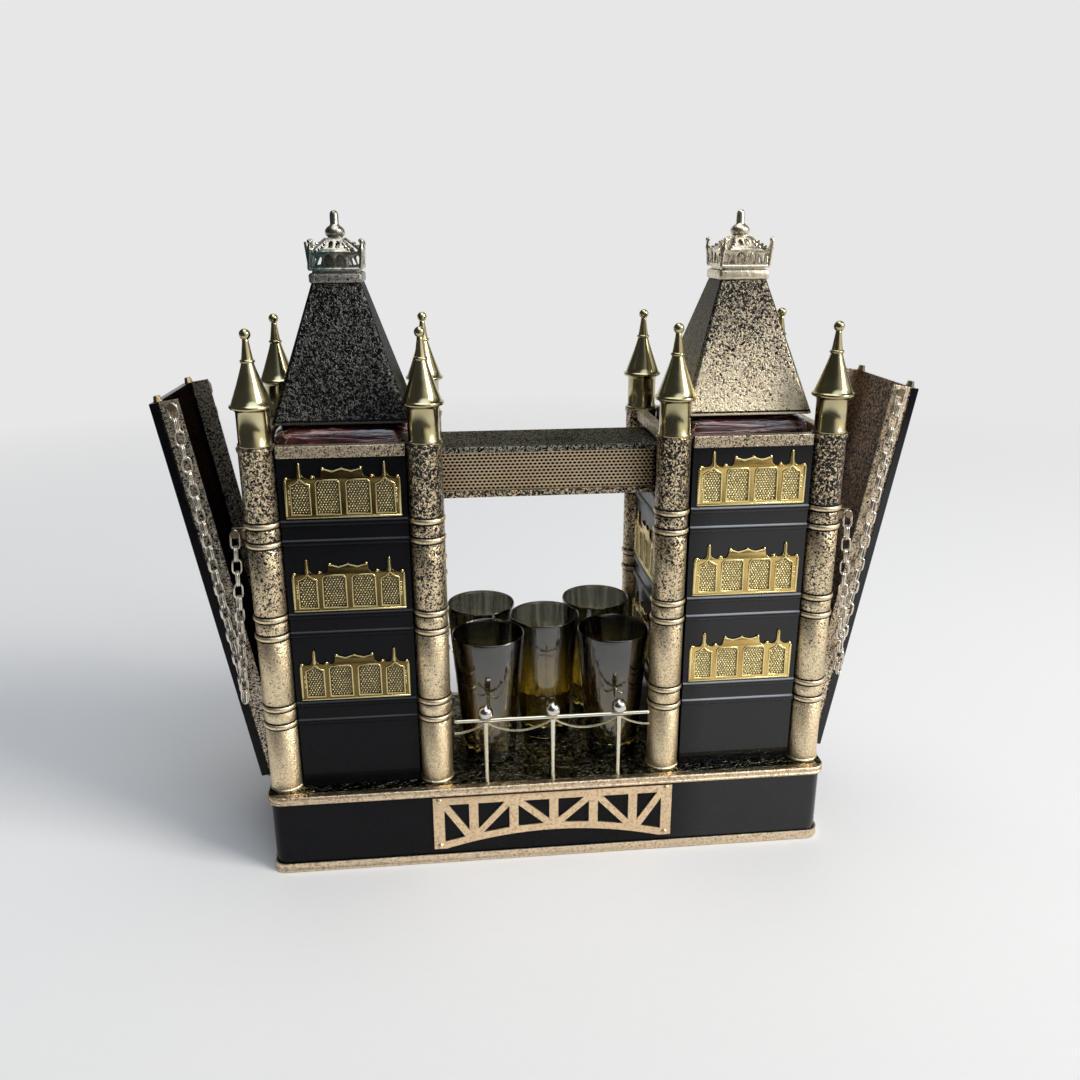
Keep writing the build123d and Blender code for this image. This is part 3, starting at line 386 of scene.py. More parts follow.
class Paint:
    """The nodes of a material or of the world, with short ways to add to them."""

    def __init__(self, name, world=False):
        self.material = bpy.data.worlds.new(name) if world else bpy.data.materials.new(name)
        self.material.use_nodes = True
        MATERIALS[name] = self.material
        self.tree = self.material.node_tree
        self.shader = self.tree.nodes["Background" if world else "Principled BSDF"]
        coordinates = self.tree.nodes.new("ShaderNodeTexCoord")
        self.place = coordinates.outputs["Generated" if world else "Object"]
        self.facing = coordinates.outputs["Normal"]

    def add(self, kind, inputs, **settings):
        made = self.tree.nodes.new(kind)
        for key, value in settings.items():
            setattr(made, key, value)
        for key, value in inputs.items():
            self.put(made.inputs[key], value)
        return made

    def put(self, socket, value):
        if isinstance(value, bpy.types.NodeSocket):
            self.tree.links.new(value, socket)
        else:
            socket.default_value = value

    def set(self, **inputs):
        """Values for the shader's own sockets, whose names the keywords spell in lower case."""
        for key, value in inputs.items():
            socket = key.replace("_", " ").title().replace("Ior", "IOR")
            self.put(self.shader.inputs[socket], value)

    def noise(self, scale, detail=3.0, roughness=0.5, distortion=0.0, place=None, output="Fac"):
        inputs = {"Vector": place or self.place, "Scale": scale, "Detail": detail}
        inputs.update({"Roughness": roughness, "Distortion": distortion})
        return self.add("ShaderNodeTexNoise", inputs).outputs[output]

    def bands(self, value, *stops):
        """Greys or colours that blend into one another at given values."""
        made = self.add("ShaderNodeValToRGB", {"Fac": value})
        band = made.color_ramp
        while len(band.elements) < len(stops):
            band.elements.new(0.5)
        for element, (position, color) in zip(band.elements, stops):
            element.position = position
            element.color = color if isinstance(color, tuple) else rgb(color, color, color)
        return made.outputs["Color"]

    def ramp(self, value, low, high, start=0.0, end=1.0):
        """A grey or colour up to a low value that blends into another towards a high one."""
        return self.bands(value, (low, start), (high, end))

    def math(self, operation, first, second=0.0, third=0.0, clamp=False):
        inputs = {0: first, 1: second, 2: third}
        return self.add("ShaderNodeMath", inputs, operation=operation, use_clamp=clamp).outputs[0]

    def vector(self, operation, inputs, output="Vector"):
        return self.add("ShaderNodeVectorMath", inputs, operation=operation).outputs[output]

    def blend(self, share, first, second, kind="MIX"):
        inputs = {"Factor": share, 6: first, 7: second}
        return self.add("ShaderNodeMix", inputs, data_type="RGBA", blend_type=kind).outputs[2]

    def darker(self, first, second):
        return self.blend(1.0, first, second, "MULTIPLY")

    def lighter(self, first, second):
        return self.blend(1.0, first, second, "LIGHTEN")

    def bump(self, height, strength, distance, normal=None):
        inputs = {"Height": height, "Strength": strength, "Distance": distance}
        if normal is not None:
            inputs["Normal"] = normal
        return self.add("ShaderNodeBump", inputs).outputs["Normal"]

    def warped(self, amount, scale):
        """Object coordinates pushed about by a soft noise."""
        push = self.vector("SCALE", {0: self.noise(scale, 2.0, output="Color"), "Scale": amount})
        return self.vector("ADD", {0: self.place, 1: push})

    def stretched(self, x, y, z):
        return self.vector("MULTIPLY", {0: self.place, 1: (x, y, z)})

    def stirred(self, value, noise, amount):
        """A value moved up and down by a noise."""
        push = self.math("MULTIPLY", self.math("SUBTRACT", noise, 0.5), amount)
        return self.math("ADD", value, push)

    def part(self, axis, vector=None):
        split = self.add("ShaderNodeSeparateXYZ", {"Vector": vector or self.place})
        return split.outputs[axis]

    def rightward(self):
        """Nought at the object's left end and one at its right end."""
        across = self.math("DIVIDE", self.part("X"), BASE_LENGTH * MM)
        return self.math("ADD", across, 0.5, clamp=True)

    def shaded_leftward(self, color, left):
        """A colour of which a share is left at the object's left end, as painted shade."""
        if left == 1.0:
            return color
        return self.darker(color, self.ramp(self.rightward(), 0.3, 0.7, left))

    def between(self, low, high):
        """Nought at one height, in metres, rising to one at another."""
        rise = self.math("SUBTRACT", self.part("Z"), low)
        return self.math("DIVIDE", rise, high - low, clamp=True)

    def near(self, value, places, reach):
        """One where a value lies within reach of one of the places, and nought elsewhere."""
        total = 0.0
        for place in places:
            total = self.math("MAXIMUM", self.math("COMPARE", value, place, reach), total)
        return total

    def towards(self, x, y, z):
        """How far the place or direction lies along a given direction."""
        along = Vector((x, y, z)).normalized()
        return self.vector("DOT_PRODUCT", {0: self.place, 1: along}, "Value")


def dimmed(color, share):
    return rgb(*(share * part for part in color[:3]))


def crackle_brass(name, gold, scale, cover, fade=None, shiny=(), edge=0.8, relief=0.0004, under=0.25):
    """Embossed gilt sheet: worm-like gold relief over black, with plain shiny lines at some heights, each
    with a thin dark line of painted shade just above and below it.

    Where fade is given, as two heights and two shares, the gold gains the first share on the black
    towards the first height, and keeps the second share of its colour at the other one.
    """
    paint = Paint(name)
    worms = paint.noise(scale, 2.5, 0.55, 0.9, paint.warped(0.0012, 500))
    fine = paint.noise(scale * 1.9, 2.0, 0.5, 0.4)
    patches = paint.noise(30, 3.0, 0.6)
    level = paint.stirred(paint.stirred(worms, patches, 0.18), fine, 0.16)
    # With fade, the gold gains share on the black towards one height and its colour is dimmed towards the
    # other
    faded_level = level
    if fade:
        low, high, gain, kept = fade
        down = paint.between(high, low)
        faded_level = paint.math("ADD", level, paint.math("MULTIPLY", down, gain))
        gold = paint.blend(down, dimmed(gold, kept), gold)
    mask = paint.ramp(faded_level, cover - 0.05, cover + 0.05)
    if shiny:
        height = paint.part("Z")
        line = paint.near(height, shiny, LINE_REACH)
        mask = paint.math("MAXIMUM", mask, line)
        level = paint.math("MULTIPLY", level, paint.math("SUBTRACT", 1.0, line))
        # Thin dark lines just above and below each shiny line: painted shade, as if cast in the grooves
        # there
        edges = [ring + sign * (LINE_REACH + 0.0006) for ring in shiny for sign in (-1, 1)]
        mask = paint.math("SUBTRACT", mask, paint.near(height, edges, GROOVE_SHADE_REACH), clamp=True)
    grain = paint.ramp(fine, 0.36, 0.56, 0.6)
    paint.set(
        base_color=paint.darker(paint.blend(mask, SOOT_AND_SHADE, gold), grain),
        metallic=paint.ramp(mask, 0.0, 1.0, under) if under < 1.0 else 1.0,
        roughness=0.36,
        specular_ior_level=0.3,
        specular_tint=rgb(edge, edge, edge),
        normal=paint.bump(level, 0.8, relief),
    )


def deck_brass(name):
    """Hammered dark relief on the deck, and stippled copper-gold on its skirt and margin."""
    paint = Paint(name)
    relief = paint.noise(210, 1.5, 0.5, 2.4)
    grain = paint.noise(700, 3.0, 0.6)
    margin = paint.math("GREATER_THAN", paint.math("ABSOLUTE", paint.part("Y")), DECK_MARGIN * MM)
    top = paint.between((DECK_TOP - 0.2) * MM, (DECK_TOP - 0.05) * MM)
    top = paint.math("SUBTRACT", top, paint.math("MULTIPLY", margin, 0.55), clamp=True)
    ridges = paint.ramp(relief, 0.42, 0.66)
    sheet = paint.blend(ridges, rgb(0.035, 0.034, 0.026), rgb(0.27, 0.25, 0.18))
    grains = paint.ramp(grain, 0.36, 0.52)
    skirt = paint.blend(grains, rgb(0.46, 0.34, 0.22), rgb(0.82, 0.65, 0.45))
    paint.set(
        base_color=paint.blend(top, skirt, sheet),
        metallic=1.0,
        roughness=paint.ramp(top, 0.0, 1.0, 0.44, 0.2),
        specular_tint=rgb(0.4, 0.4, 0.4),
        normal=paint.bump(relief, paint.ramp(top, 0.0, 1.0, 0.3), 0.0013),
    )


def stipple_gold(name, gold, shade, scale=620, roughness=0.34, left=1.0, green=False):
    """Fine stippled champagne gilt, of which a share of the colour is left at the left end as painted
    shade.
    """
    paint = Paint(name)
    grain = paint.noise(scale, 3.0, 0.6)
    broad = paint.noise(38, 3.0, 0.6)
    tone = paint.blend(paint.ramp(grain, 0.36, 0.52), shade, gold)
    mixed = paint.blend(paint.ramp(broad, 0.42, 0.62, 0.0, 0.55), tone, dimmed(gold, 0.82))
    mixed = paint.shaded_leftward(mixed, left)
    paint.set(
        base_color=verdigris(paint, mixed) if green else mixed,
        metallic=1.0,
        roughness=paint.ramp(grain, 0.3, 0.7, roughness + 0.14, roughness - 0.06),
        normal=paint.bump(grain, 0.55, 0.0006),
    )


def verdigris(paint, color):
    """A colour with a ragged green patch round a place."""
    gap = paint.vector("DISTANCE", {0: paint.place, 1: VERDIGRIS_PLACE}, "Value")
    ragged = paint.math("ADD", gap, paint.math("MULTIPLY", paint.noise(260, 3.0), VERDIGRIS_REACH))
    far = paint.math("DIVIDE", ragged, 2 * VERDIGRIS_REACH)
    return paint.blend(paint.ramp(far, 0.45, 0.75, 0.85, 0.0), color, VERDIGRIS)


def polished_brass(name, gold, tarnish, roughness=0.13, left=1.0):
    """Brass with faint streaks and tarnish, of which a share of the colour is left at the left end as
    painted shade.
    """
    paint = Paint(name)
    streaks = paint.noise(160, 4.0, 0.6)
    patches = paint.noise(34, 3.0, 0.55)
    mixed = paint.blend(paint.ramp(patches, 0.45, 0.72, 0.0, 0.6), gold, tarnish)
    paint.set(
        base_color=paint.shaded_leftward(mixed, left),
        metallic=1.0,
        roughness=paint.ramp(streaks, 0.3, 0.75, roughness, roughness + 0.12),
        normal=paint.bump(streaks, 0.06, 0.0004),
    )


def black_wood(name):
    """Black lacquer over wood, with faint dents and specks, and a bluish painted highlight on what faces
    up at the right end.
    """
    paint = Paint(name)
    broad = paint.noise(60, 3.0, 0.55)
    fine = paint.noise(900, 2.0, 0.5)
    specks = paint.ramp(paint.noise(2400, 1.0, 0.5), 0.72, 0.80, 0.0, 0.4)
    base = paint.blend(broad, rgb(0.0025, 0.0027, 0.0034), rgb(0.005, 0.0055, 0.007))
    height = paint.math("ADD", paint.math("MULTIPLY", broad, 1.4), paint.math("MULTIPLY", fine, 0.05))
    right = paint.ramp(paint.rightward(), 0.68, 0.78, 0.10, 0.85)
    upward = paint.ramp(paint.part("Z", paint.facing), 0.3, 0.75)
    # Bluish-grey painted highlight on upward faces at the right end, standing in for sky light on the
    # mouldings
    painted_sheen = paint.math("MULTIPLY", upward, right)
    speckled = paint.blend(specks, base, rgb(0.04, 0.04, 0.04))
    paint.set(
        base_color=paint.blend(painted_sheen, speckled, rgb(0.40, 0.42, 0.46)),
        roughness=paint.ramp(broad, 0.3, 0.7, 0.22, 0.34),
        specular_ior_level=0.08,
        coat_weight=right,
        coat_roughness=0.07,
        normal=paint.bump(height, 0.15, 0.0008),
    )


def tinted_glass(name, low_color, high_color, low, high):
    """Smoked glass whose colour changes with height, between two heights, under a shiny coat."""
    paint = Paint(name)
    streaks = paint.noise(330, 3.0, 0.6, 0.0, paint.stretched(1.0, 1.0, 0.06))
    waves = paint.bump(streaks, 0.5, 0.0005, paint.bump(paint.noise(70, 2.0), 0.16, 0.0012))
    tint = paint.blend(paint.between(low, high), low_color, high_color)
    paint.set(
        base_color=paint.darker(tint, paint.ramp(streaks, 0.42, 0.62, 0.45)),
        transmission_weight=1.0,
        ior=1.46,
        roughness=0.02,
        coat_weight=1.0,
        coat_ior=1.75,
        normal=waves,
        coat_normal=waves,
    )


def bottle_glass(name):
    """Thick plum glass with the long ripples of a moulded bottle on its shoulder, and pale painted
    highlights along them.
    """
    paint = Paint(name)
    ripples = paint.noise(85, 3.0, 0.6, 0.9, paint.stretched(0.3, 2.4, 3.4))
    # The pale band in the ripples is a painted highlight, standing in for light refracted in the shoulder
    stops = [(0.40, PLUM_DARK), (0.55, PLUM), (0.60, PLUM_HIGHLIGHT), (0.65, PLUM), (0.78, PLUM_DARK)]
    share = paint.between((SHOULDER_TOP - 14.0) * MM, (SHOULDER_TOP - 6.0) * MM)
    side = paint.ramp(ripples, 0.35, 0.7, PLUM_DARK, PLUM)
    strength = paint.ramp(share, 0.0, 1.0, 0.15, 0.8)
    paint.set(
        base_color=paint.blend(share, side, paint.bands(ripples, *stops)),
        transmission_weight=paint.ramp(share, 0.0, 1.0, 0.75, 0.25),
        ior=1.5,
        roughness=0.06,
        coat_weight=1.0,
        coat_ior=1.7,
        coat_normal=paint.bump(ripples, strength, 0.0014),
        normal=paint.bump(ripples, strength, 0.0022),
    )


def cork_material(name):
    paint = Paint(name)
    grain = paint.noise(500, 4.0, 0.65)
    pits = paint.add("ShaderNodeTexVoronoi", {"Vector": paint.place, "Scale": 420}).outputs["Distance"]
    tone = paint.blend(grain, rgb(0.42, 0.25, 0.12), rgb(0.62, 0.42, 0.24))
    paint.set(
        base_color=paint.blend(paint.ramp(pits, 0.08, 0.2, 0.7, 0.0), tone, rgb(0.16, 0.08, 0.04)),
        roughness=0.85,
        normal=paint.bump(grain, 0.5, 0.0008),
    )


def finishes():
    """Every finish, by the name that the pieces give."""
    # The left roof's near-black gilt is painted shade: a shaded copy of the right roof's gilt
    crackle_brass("roof_left", rgb(0.13, 0.13, 0.115), 760, 0.53, None, SHINY_EDGE, 0.4, 0.0012, 1.0)
    crackle_brass(
        "roof_right", rgb(0.80, 0.69, 0.50), 920, 0.55, (0.238, 0.295, 0.16, 0.40), SHINY_EDGE, 0.3
    )
    crackle_brass("crackle", rgb(0.78, 0.65, 0.46), 1100, 0.46)
    crackle_brass("shade", rgb(0.62, 0.59, 0.47), 1000, 0.53, edge=0.06, under=1.0)
    crackle_brass("column", rgb(1.0, 0.82, 0.54), 780, 0.545, (0.075, 0.20, 0.25, 0.92), SHINY_RINGS)
    # The left leaf's near-black roadway and duller parapets are painted shade: shaded copies of the right
    # leaf's finishes
    crackle_brass("leaf_left", rgb(0.10, 0.07, 0.05), 820, 0.53, edge=0.2, under=1.0)
    crackle_brass("leaf_right", rgb(0.52, 0.36, 0.25), 820, 0.53, edge=0.5)
    crackle_brass("parapet_left", rgb(0.76, 0.66, 0.52), 1000, 0.51, edge=0.6)
    crackle_brass("parapet_right", rgb(0.98, 0.82, 0.60), 1000, 0.46)
    deck_brass("deck")
    stipple_gold("stipple", rgb(0.84, 0.68, 0.48), rgb(0.46, 0.35, 0.24))
    # The left collar's greyer, darker gilt is painted shade, as on the left roof
    crackle_brass("collar_left", rgb(0.46, 0.44, 0.38), 1000, 0.42)
    stipple_gold("collar_right", rgb(0.88, 0.80, 0.62), rgb(0.56, 0.48, 0.34), 500)
    stipple_gold("girder", rgb(0.92, 0.70, 0.45), rgb(0.60, 0.42, 0.26), 760)
    # The left crown's darker gilt is painted shade, as on the left roof; its green patch is verdigris
    stipple_gold("crown_left", rgb(0.52, 0.50, 0.42), rgb(0.14, 0.13, 0.10), 300, 0.26, green=True)
    stipple_gold("crown_right", rgb(0.86, 0.78, 0.62), rgb(0.36, 0.30, 0.20), 300, 0.28)
    polished_brass("brass", rgb(0.58, 0.52, 0.31), rgb(0.26, 0.22, 0.10))
    polished_brass("antique", rgb(0.34, 0.26, 0.16), rgb(0.10, 0.07, 0.05), 0.3)
    # The plaques' ground, frames, panels and recesses darken towards the left tower: painted shade
    polished_brass("ground", rgb(0.72, 0.53, 0.19), rgb(0.40, 0.17, 0.05), 0.2, 0.26)
    polished_brass("frame", rgb(0.92, 0.78, 0.38), rgb(0.70, 0.55, 0.23), 0.18, 0.75)
    stipple_gold("panel", rgb(0.94, 0.83, 0.50), rgb(0.68, 0.55, 0.27), 900, 0.32, 0.5)
    stipple_gold("recess", rgb(0.40, 0.34, 0.17), rgb(0.20, 0.16, 0.07), 900, 0.4, 0.4)
    polished_brass("mesh", rgb(0.86, 0.68, 0.45), rgb(0.56, 0.38, 0.22), 0.3)
    # Near-black sheet behind the walkway mesh: painted shade
    polished_brass("shade_sheet", rgb(0.035, 0.028, 0.02), rgb(0.015, 0.012, 0.01), 0.4)
    polished_brass("rail", rgb(0.82, 0.77, 0.62), rgb(0.56, 0.49, 0.34), 0.2)
    polished_brass("silver", rgb(0.74, 0.72, 0.68), rgb(0.46, 0.42, 0.36), 0.09)
    polished_brass("chain", rgb(0.80, 0.75, 0.66), rgb(0.42, 0.35, 0.27), 0.2)
    black_wood("black")
    tinted_glass("smoke", rgb(0.95, 0.74, 0.17), rgb(0.125, 0.12, 0.09), 0.054, 0.108)
    bottle_glass("plum")
    cork_material("cork")


def base_pieces():
    """Both trays and the plinth, each through steps of how far it is cut in and how high."""
    low = DECK_TOP - DECK_SKIRT
    high = DECK_TOP - TRAY_SHEET
    lip = FOOT_SKIRT
    inset = TRAY_SHEET + TRAY_GAP
    deck = [(TRAY_SHEET, high), (TRAY_SHEET, low + 0.3), (TRAY_SHEET - 0.3, low), (0.5, low)]
    deck += [(0.0, low + 0.5), (0.0, low + 1.2), (0.35, low + 1.6), (0.35, DECK_TOP - 1.6)]
    deck += [(0.0, DECK_TOP - 1.2), (0.12, DECK_TOP - 0.5), (0.6, DECK_TOP - 0.08), (1.2, DECK_TOP)]
    foot = [(0.7, 0.0), (0.2, 0.25), (0.0, 0.8), (0.1, 1.4), (0.45, 1.9), (0.45, lip - 1.1)]
    foot += [(0.25, lip - 0.7), (0.3, lip - 0.2), (0.6, lip), (1.1, lip)]
    foot += [(TRAY_SHEET, lip - 0.4), (TRAY_SHEET, TRAY_SHEET)]
    plinth = [(inset + 0.6, TRAY_SHEET), (inset, TRAY_SHEET + 0.6)]
    plinth += [(inset, high - 0.6), (inset + 0.6, high)]
    for name, steps, finish, slot, node in (
        ("deck_tray", deck, "deck", "antique_brass", "base_deck"),
        ("foot_tray", foot, "stipple", "antique_brass", "base_foot_tray"),
        ("plinth", plinth, "black", "black_wood", "base_plinth"),
    ):
        loops = []
        for cut, z in steps:
            length = BASE_LENGTH - 2 * cut
            loops.append(rounded_loop(length, BASE_DEPTH - 2 * cut, BASE_CORNER - cut, z, CORNER_STEPS))
        piece(name, loft(loops), finish, [node])


def column_profile():
    """A column with a pair of beads under each window level and a flare at the top."""
    radius = COLUMN_RADIUS
    profile = [(DECK_TOP, radius + 0.5), (DECK_TOP + 0.8, radius + 0.5), (DECK_TOP + 1.3, radius)]
    for height in RINGS:
        profile += [(height - 2.0, radius), (height - 1.7, radius - 0.25)]
        profile += arc_profile((height, radius - 0.1), 0.95, 1.4, -90, 90, 6)
        profile += [(height + 1.7, radius - 0.25), (height + 2.0, radius)]
    profile += [(COLUMN_TOP - 3.0, radius), (COLUMN_TOP - 2.2, radius + 0.5)]
    profile += [(COLUMN_TOP - 0.4, radius + 0.7), (COLUMN_TOP, radius + 0.4)]
    return profile


def finial_profile():
    """Collar, rolled brim, hollow cone, bead, spike and ball."""
    top = COLUMN_TOP
    brim = top + 19.2
    bead = brim + 21.0
    ball = FINIAL_BALL
    profile = [(top, 8.05), (top + 0.5, 8.35), (top + 1.4, 8.35), (top + 2.0, 7.85)]
    profile += [(brim - 2.6, 7.8), (brim - 1.6, 8.4), (brim - 0.9, 9.6)]
    profile += arc_profile((brim + 0.1, 9.75), 0.75, 1.0, -60, 80, 6)
    for share in (number / 8 for number in range(9)):
        profile.append((brim + 1.5 + (bead - brim - 2.4) * share, 2.9 + 6.5 * (1 - share) ** 1.08))
    profile += arc_profile((bead, 2.6), 0.95, 0.9, -80, 80, 6)
    profile += [(bead + 1.2, 2.7), (bead + 2.6, 2.45), (ball - 3.4, 1.55), (ball - 2.5, 1.5)]
    profile += arc_profile((ball, 0.0), 2.65, 2.65, -60, 88, 12)
    return profile


def wall_shape(width, rings):
    """A black wall with round mouldings at some heights, outer face in the plane Y = 0, facing -Y."""
    section = [(0.0, DECK_TOP)]
    for height in rings:
        moulding = arc_profile((height, 0.0), MOULDING_PROUD, MOULDING_HALF, -90, 90, 8)
        section += [(-proud, z) for z, proud in moulding]
    section += [(0.0, WALL_TOP), (WALL_SHEET, WALL_TOP), (WALL_SHEET, DECK_TOP)]
    return loft([[(x, y, z) for y, z in section] for x in (-width / 2, width / 2)])


def wall_places(side):
    """Where each outer face of a tower's walls lies, with the wall's width and its rings."""
    centre = shift(SIDES[side] * TOWER_X, 0, 0)
    outward = turn(90 * SIDES[side], "Z")
    inward = turn(-90 * SIDES[side], "Z")
    long = shift(0, -WALL_FACE_Y, 0)
    short = shift(0, -WALL_FACE_X, 0)
    return {
        "front": (centre @ long, WALL_WIDTH_X, RINGS),
        "rear": (centre @ turn(180, "Z") @ long, WALL_WIDTH_X, RINGS),
        "inner": (centre @ inward @ short, WALL_WIDTH_Y, RINGS),
        "outer": (centre @ outward @ short, WALL_WIDTH_Y, ()),
    }


def wall_pieces(side):
    for face, (place, width, rings) in wall_places(side).items():
        shape = wall_shape(width, rings).at(place)
        piece(f"{side}_{face}_wall", shape, "black", [f"tower_{side}_wall_{face}"])


def tower_pieces(side):
    columns = Shape()
    finials = Shape()
    column = lathe(column_profile())
    finial = lathe(finial_profile())
    for x in (-SPACING_X, SPACING_X):
        for y in (-SPACING_Y, SPACING_Y):
            place = shift(SIDES[side] * TOWER_X + x, y, 0)
            columns.add(column, place)
            finials.add(finial, place)
    name = f"tower_{side}"
    piece(f"{side}_columns", columns, "column", [f"{name}_columns"])
    piece(f"{side}_finials", finials, "brass", [f"{name}_finials"])
    dress(f"{name}_cornice", "crackle", 0.6)


# The right half of a plaque, from the middle of its foot up over its spire and crest
PLAQUE_HALF = [(0.0, 0.0), (28.0, 0.0), (28.0, 18.6), (27.6, 20.2), (26.6, 21.0), (25.6, 20.6)]
PLAQUE_HALF += [(25.0, 20.0), (23.0, 20.1), (21.9, 21.0), (21.2, 22.6), (21.1, 27.0), (20.7, 27.9)]
PLAQUE_HALF += [(20.3, 28.1), (19.9, 27.9), (19.5, 27.0), (19.4, 22.6), (18.6, 21.0), (17.4, 20.2)]
PLAQUE_HALF += [(15.6, 20.1), (15.2, 21.2), (14.2, 21.7), (13.2, 21.2), (12.8, 20.2), (11.4, 20.3)]
PLAQUE_HALF += [(10.3, 21.2), (9.9, 22.6), (9.6, 25.0), (9.0, 25.6), (8.2, 24.8), (6.8, 24.1)]
PLAQUE_HALF += [(4.6, 23.8), (2.4, 24.1), (0.9, 24.8), (0.0, 25.6)]
WINDOW_INNER = [(1.9, 2.4), (12.7, 2.4), (12.7, 17.6), (11.7, 18.7), (2.9, 18.7), (1.9, 17.6)]
WINDOW_OUTER = [(16.2, 2.4), (24.6, 2.4), (24.6, 16.6), (22.6, 17.4), (20.4, 19.3), (18.2, 17.4)]
WINDOW_OUTER += [(16.2, 16.6)]


def grown(ring, amount):
    """An outline pushed outwards from its middle, for the frame round a window."""
    count = len(ring)
    made = []
    for number in range(count):
        before = Vector(ring[number - 1])
        here = Vector(ring[number])
        after = Vector(ring[(number + 1) % count])
        first = (here - before).normalized()
        second = (after - here).normalized()
        normal = Vector((first.y + second.y, -first.x - second.x)).normalized()
        cosine = max(0.5, normal.dot(Vector((first.y, -first.x))))
        made.append(tuple(here + normal * amount / cosine))
    return made


def inside(ring, x, z):
    """Whether a point lies within an outline."""
    found = False
    for number in range(len(ring)):
        x1, z1 = ring[number - 1]
        x2, z2 = ring[number]
        if (z1 > z) != (z2 > z) and x < (x2 - x1) * (z - z1) / (z2 - z1) + x1:
            found = not found
    return found


def dimples(ring, low, high, pitch=1.42, radius=0.62):
    """Rows of small raised domes within a window."""
    made = Shape()
    dome = lathe([(low, radius), (low + (high - low) * 0.6, radius * 0.8), (high, radius * 0.35)], 6)
    xs = [x for x, z in ring]
    zs = [z for x, z in ring]
    tight = grown(ring, -radius * 0.8)
    row = 0
    z = min(zs) + radius
    while z < max(zs):
        x = min(xs) + radius + (pitch / 2 if row % 2 else 0)
        while x < max(xs):
            if inside(tight, x, z):
                made.add(dome, shift(x, 0, z) @ turn(90, "X"))
            x += pitch
        z += pitch * 0.87
        row += 1
    return made


def plaque_shapes():
    """One plaque's ground, recesses, bright frames and dimples, facing -Y from the plane Y = 0."""
    windows = [WINDOW_INNER, WINDOW_OUTER, mirrored(WINDOW_INNER), mirrored(WINDOW_OUTER)]
    ground = plate(both_halves(PLAQUE_HALF), windows, 0.0, 0.8, 0.15)
    recess = plate([(-25.4, 1.6), (25.4, 1.6), (25.4, 19.4), (-25.4, 19.4)], [], 0.02, 0.2, 0.05)
    panels = Shape()
    frames = Shape()
    for ring in windows:
        frames.add(plate(grown(ring, 0.75), [ring], 0.6, 1.18, 0.24))
        panels.add(dimples(ring, 0.15, 0.75))
    frames.add(plate([(-27.8, 0.1), (27.8, 0.1), (27.8, 1.0), (-27.8, 1.0)], [], 0.6, 1.15, 0.25))
    edge = [(26.9, 1.3), (27.8, 1.3), (27.8, 18.4), (27.3, 19.8), (26.6, 18.6)]
    spire = lathe([(0.0, 0.9), (1.2, 0.85), (2.6, 0.62), (6.6, 0.55), (7.1, 0.4), (7.4, 0.1)], 12)
    knob = lathe([(-0.9, 0.2), (-0.6, 0.65), (0.0, 0.85), (0.6, 0.65), (0.9, 0.2)], 12)
    bead = lathe([(-1.1, 0.2), (-0.7, 0.5), (0.0, 0.6), (0.7, 0.5), (1.1, 0.2)], 10)
    for sign in (-1, 1):
        frames.add(plate(edge if sign > 0 else mirrored(edge), [], 0.6, 1.15, 0.22))
        frames.add(spire, shift(sign * 20.3, -0.45, 20.5))
        for x, z in ((26.6, 20.1), (14.2, 20.7), (9.0, 24.7)):
            frames.add(knob, shift(sign * x, -0.5, z))
        for z in (8.0, 10.8, 13.6):
            frames.add(bead, shift(sign * 25.7, -0.6, z))
    rim = [(-9.0, 24.6), (-4.6, 23.2), (0.0, 24.6), (4.6, 23.2), (9.0, 24.6)]
    frames.add(tube([(x, -0.7, z) for x, z in rim], 0.4))
    return {"ground": ground, "recess": recess, "frame": frames, "panel": panels}


def plaque_pieces(side, parts):
    """Three plaques on the front and rear of a tower, and two on its inner side."""
    places = wall_places(side)
    faces = [(places["front"][0], 3), (places["rear"][0], 3), (places["inner"][0], 2)]
    for name, one in parts.items():
        shape = Shape()
        for place, count in faces:
            for level in RING_LEVELS[:count]:
                shape.add(one, place @ shift(0, 0, level + PLAQUE_LIFT))
        piece(f"{side}_plaque_{name}", shape, name, [f"tower_{side}_plaques"], angle=50)


def mesh_panel():
    """A pierced panel of six-sided openings in the XZ plane, from the plane Y = 0 back."""
    low = WALKWAY_BOTTOM + WALKWAY_SHEET + 0.1
    high = WALKWAY_TOP - WALKWAY_SHEET - 0.1
    step_z = MESH_CELL * 0.76
    rows = int((high - low) / step_z)
    columns = int((2 * WALKWAY_END - 1) / MESH_CELL)
    start_z = (low + high - (rows - 1) * step_z) / 2
    outer = MESH_CELL / 2 / math.cos(math.pi / 6)
    inner = outer - MESH_WIRE / 2 / math.cos(math.pi / 6)
    flat = step_z / (outer * 1.5)
    angles = [math.pi / 3 * (number + 0.5) for number in range(6)]
    loops = []
    for size, depth in ((outer, 0.55), (outer, 0.05), (inner, 0.0), (inner, 0.6)):
        tall = size * flat * (MESH_SQUASH if size == inner else 1.0)
        loops.append([(size * math.cos(angle), depth, tall * math.sin(angle)) for angle in angles])
    cell = loft(loops + [loops[0]], False, False)
    made = Shape()
    for row in range(rows):
        count = columns - row % 2
        for column in range(count):
            x = (column - (count - 1) / 2) * MESH_CELL
            made.add(cell, shift(x, 0, start_z + row * step_z))
    return made


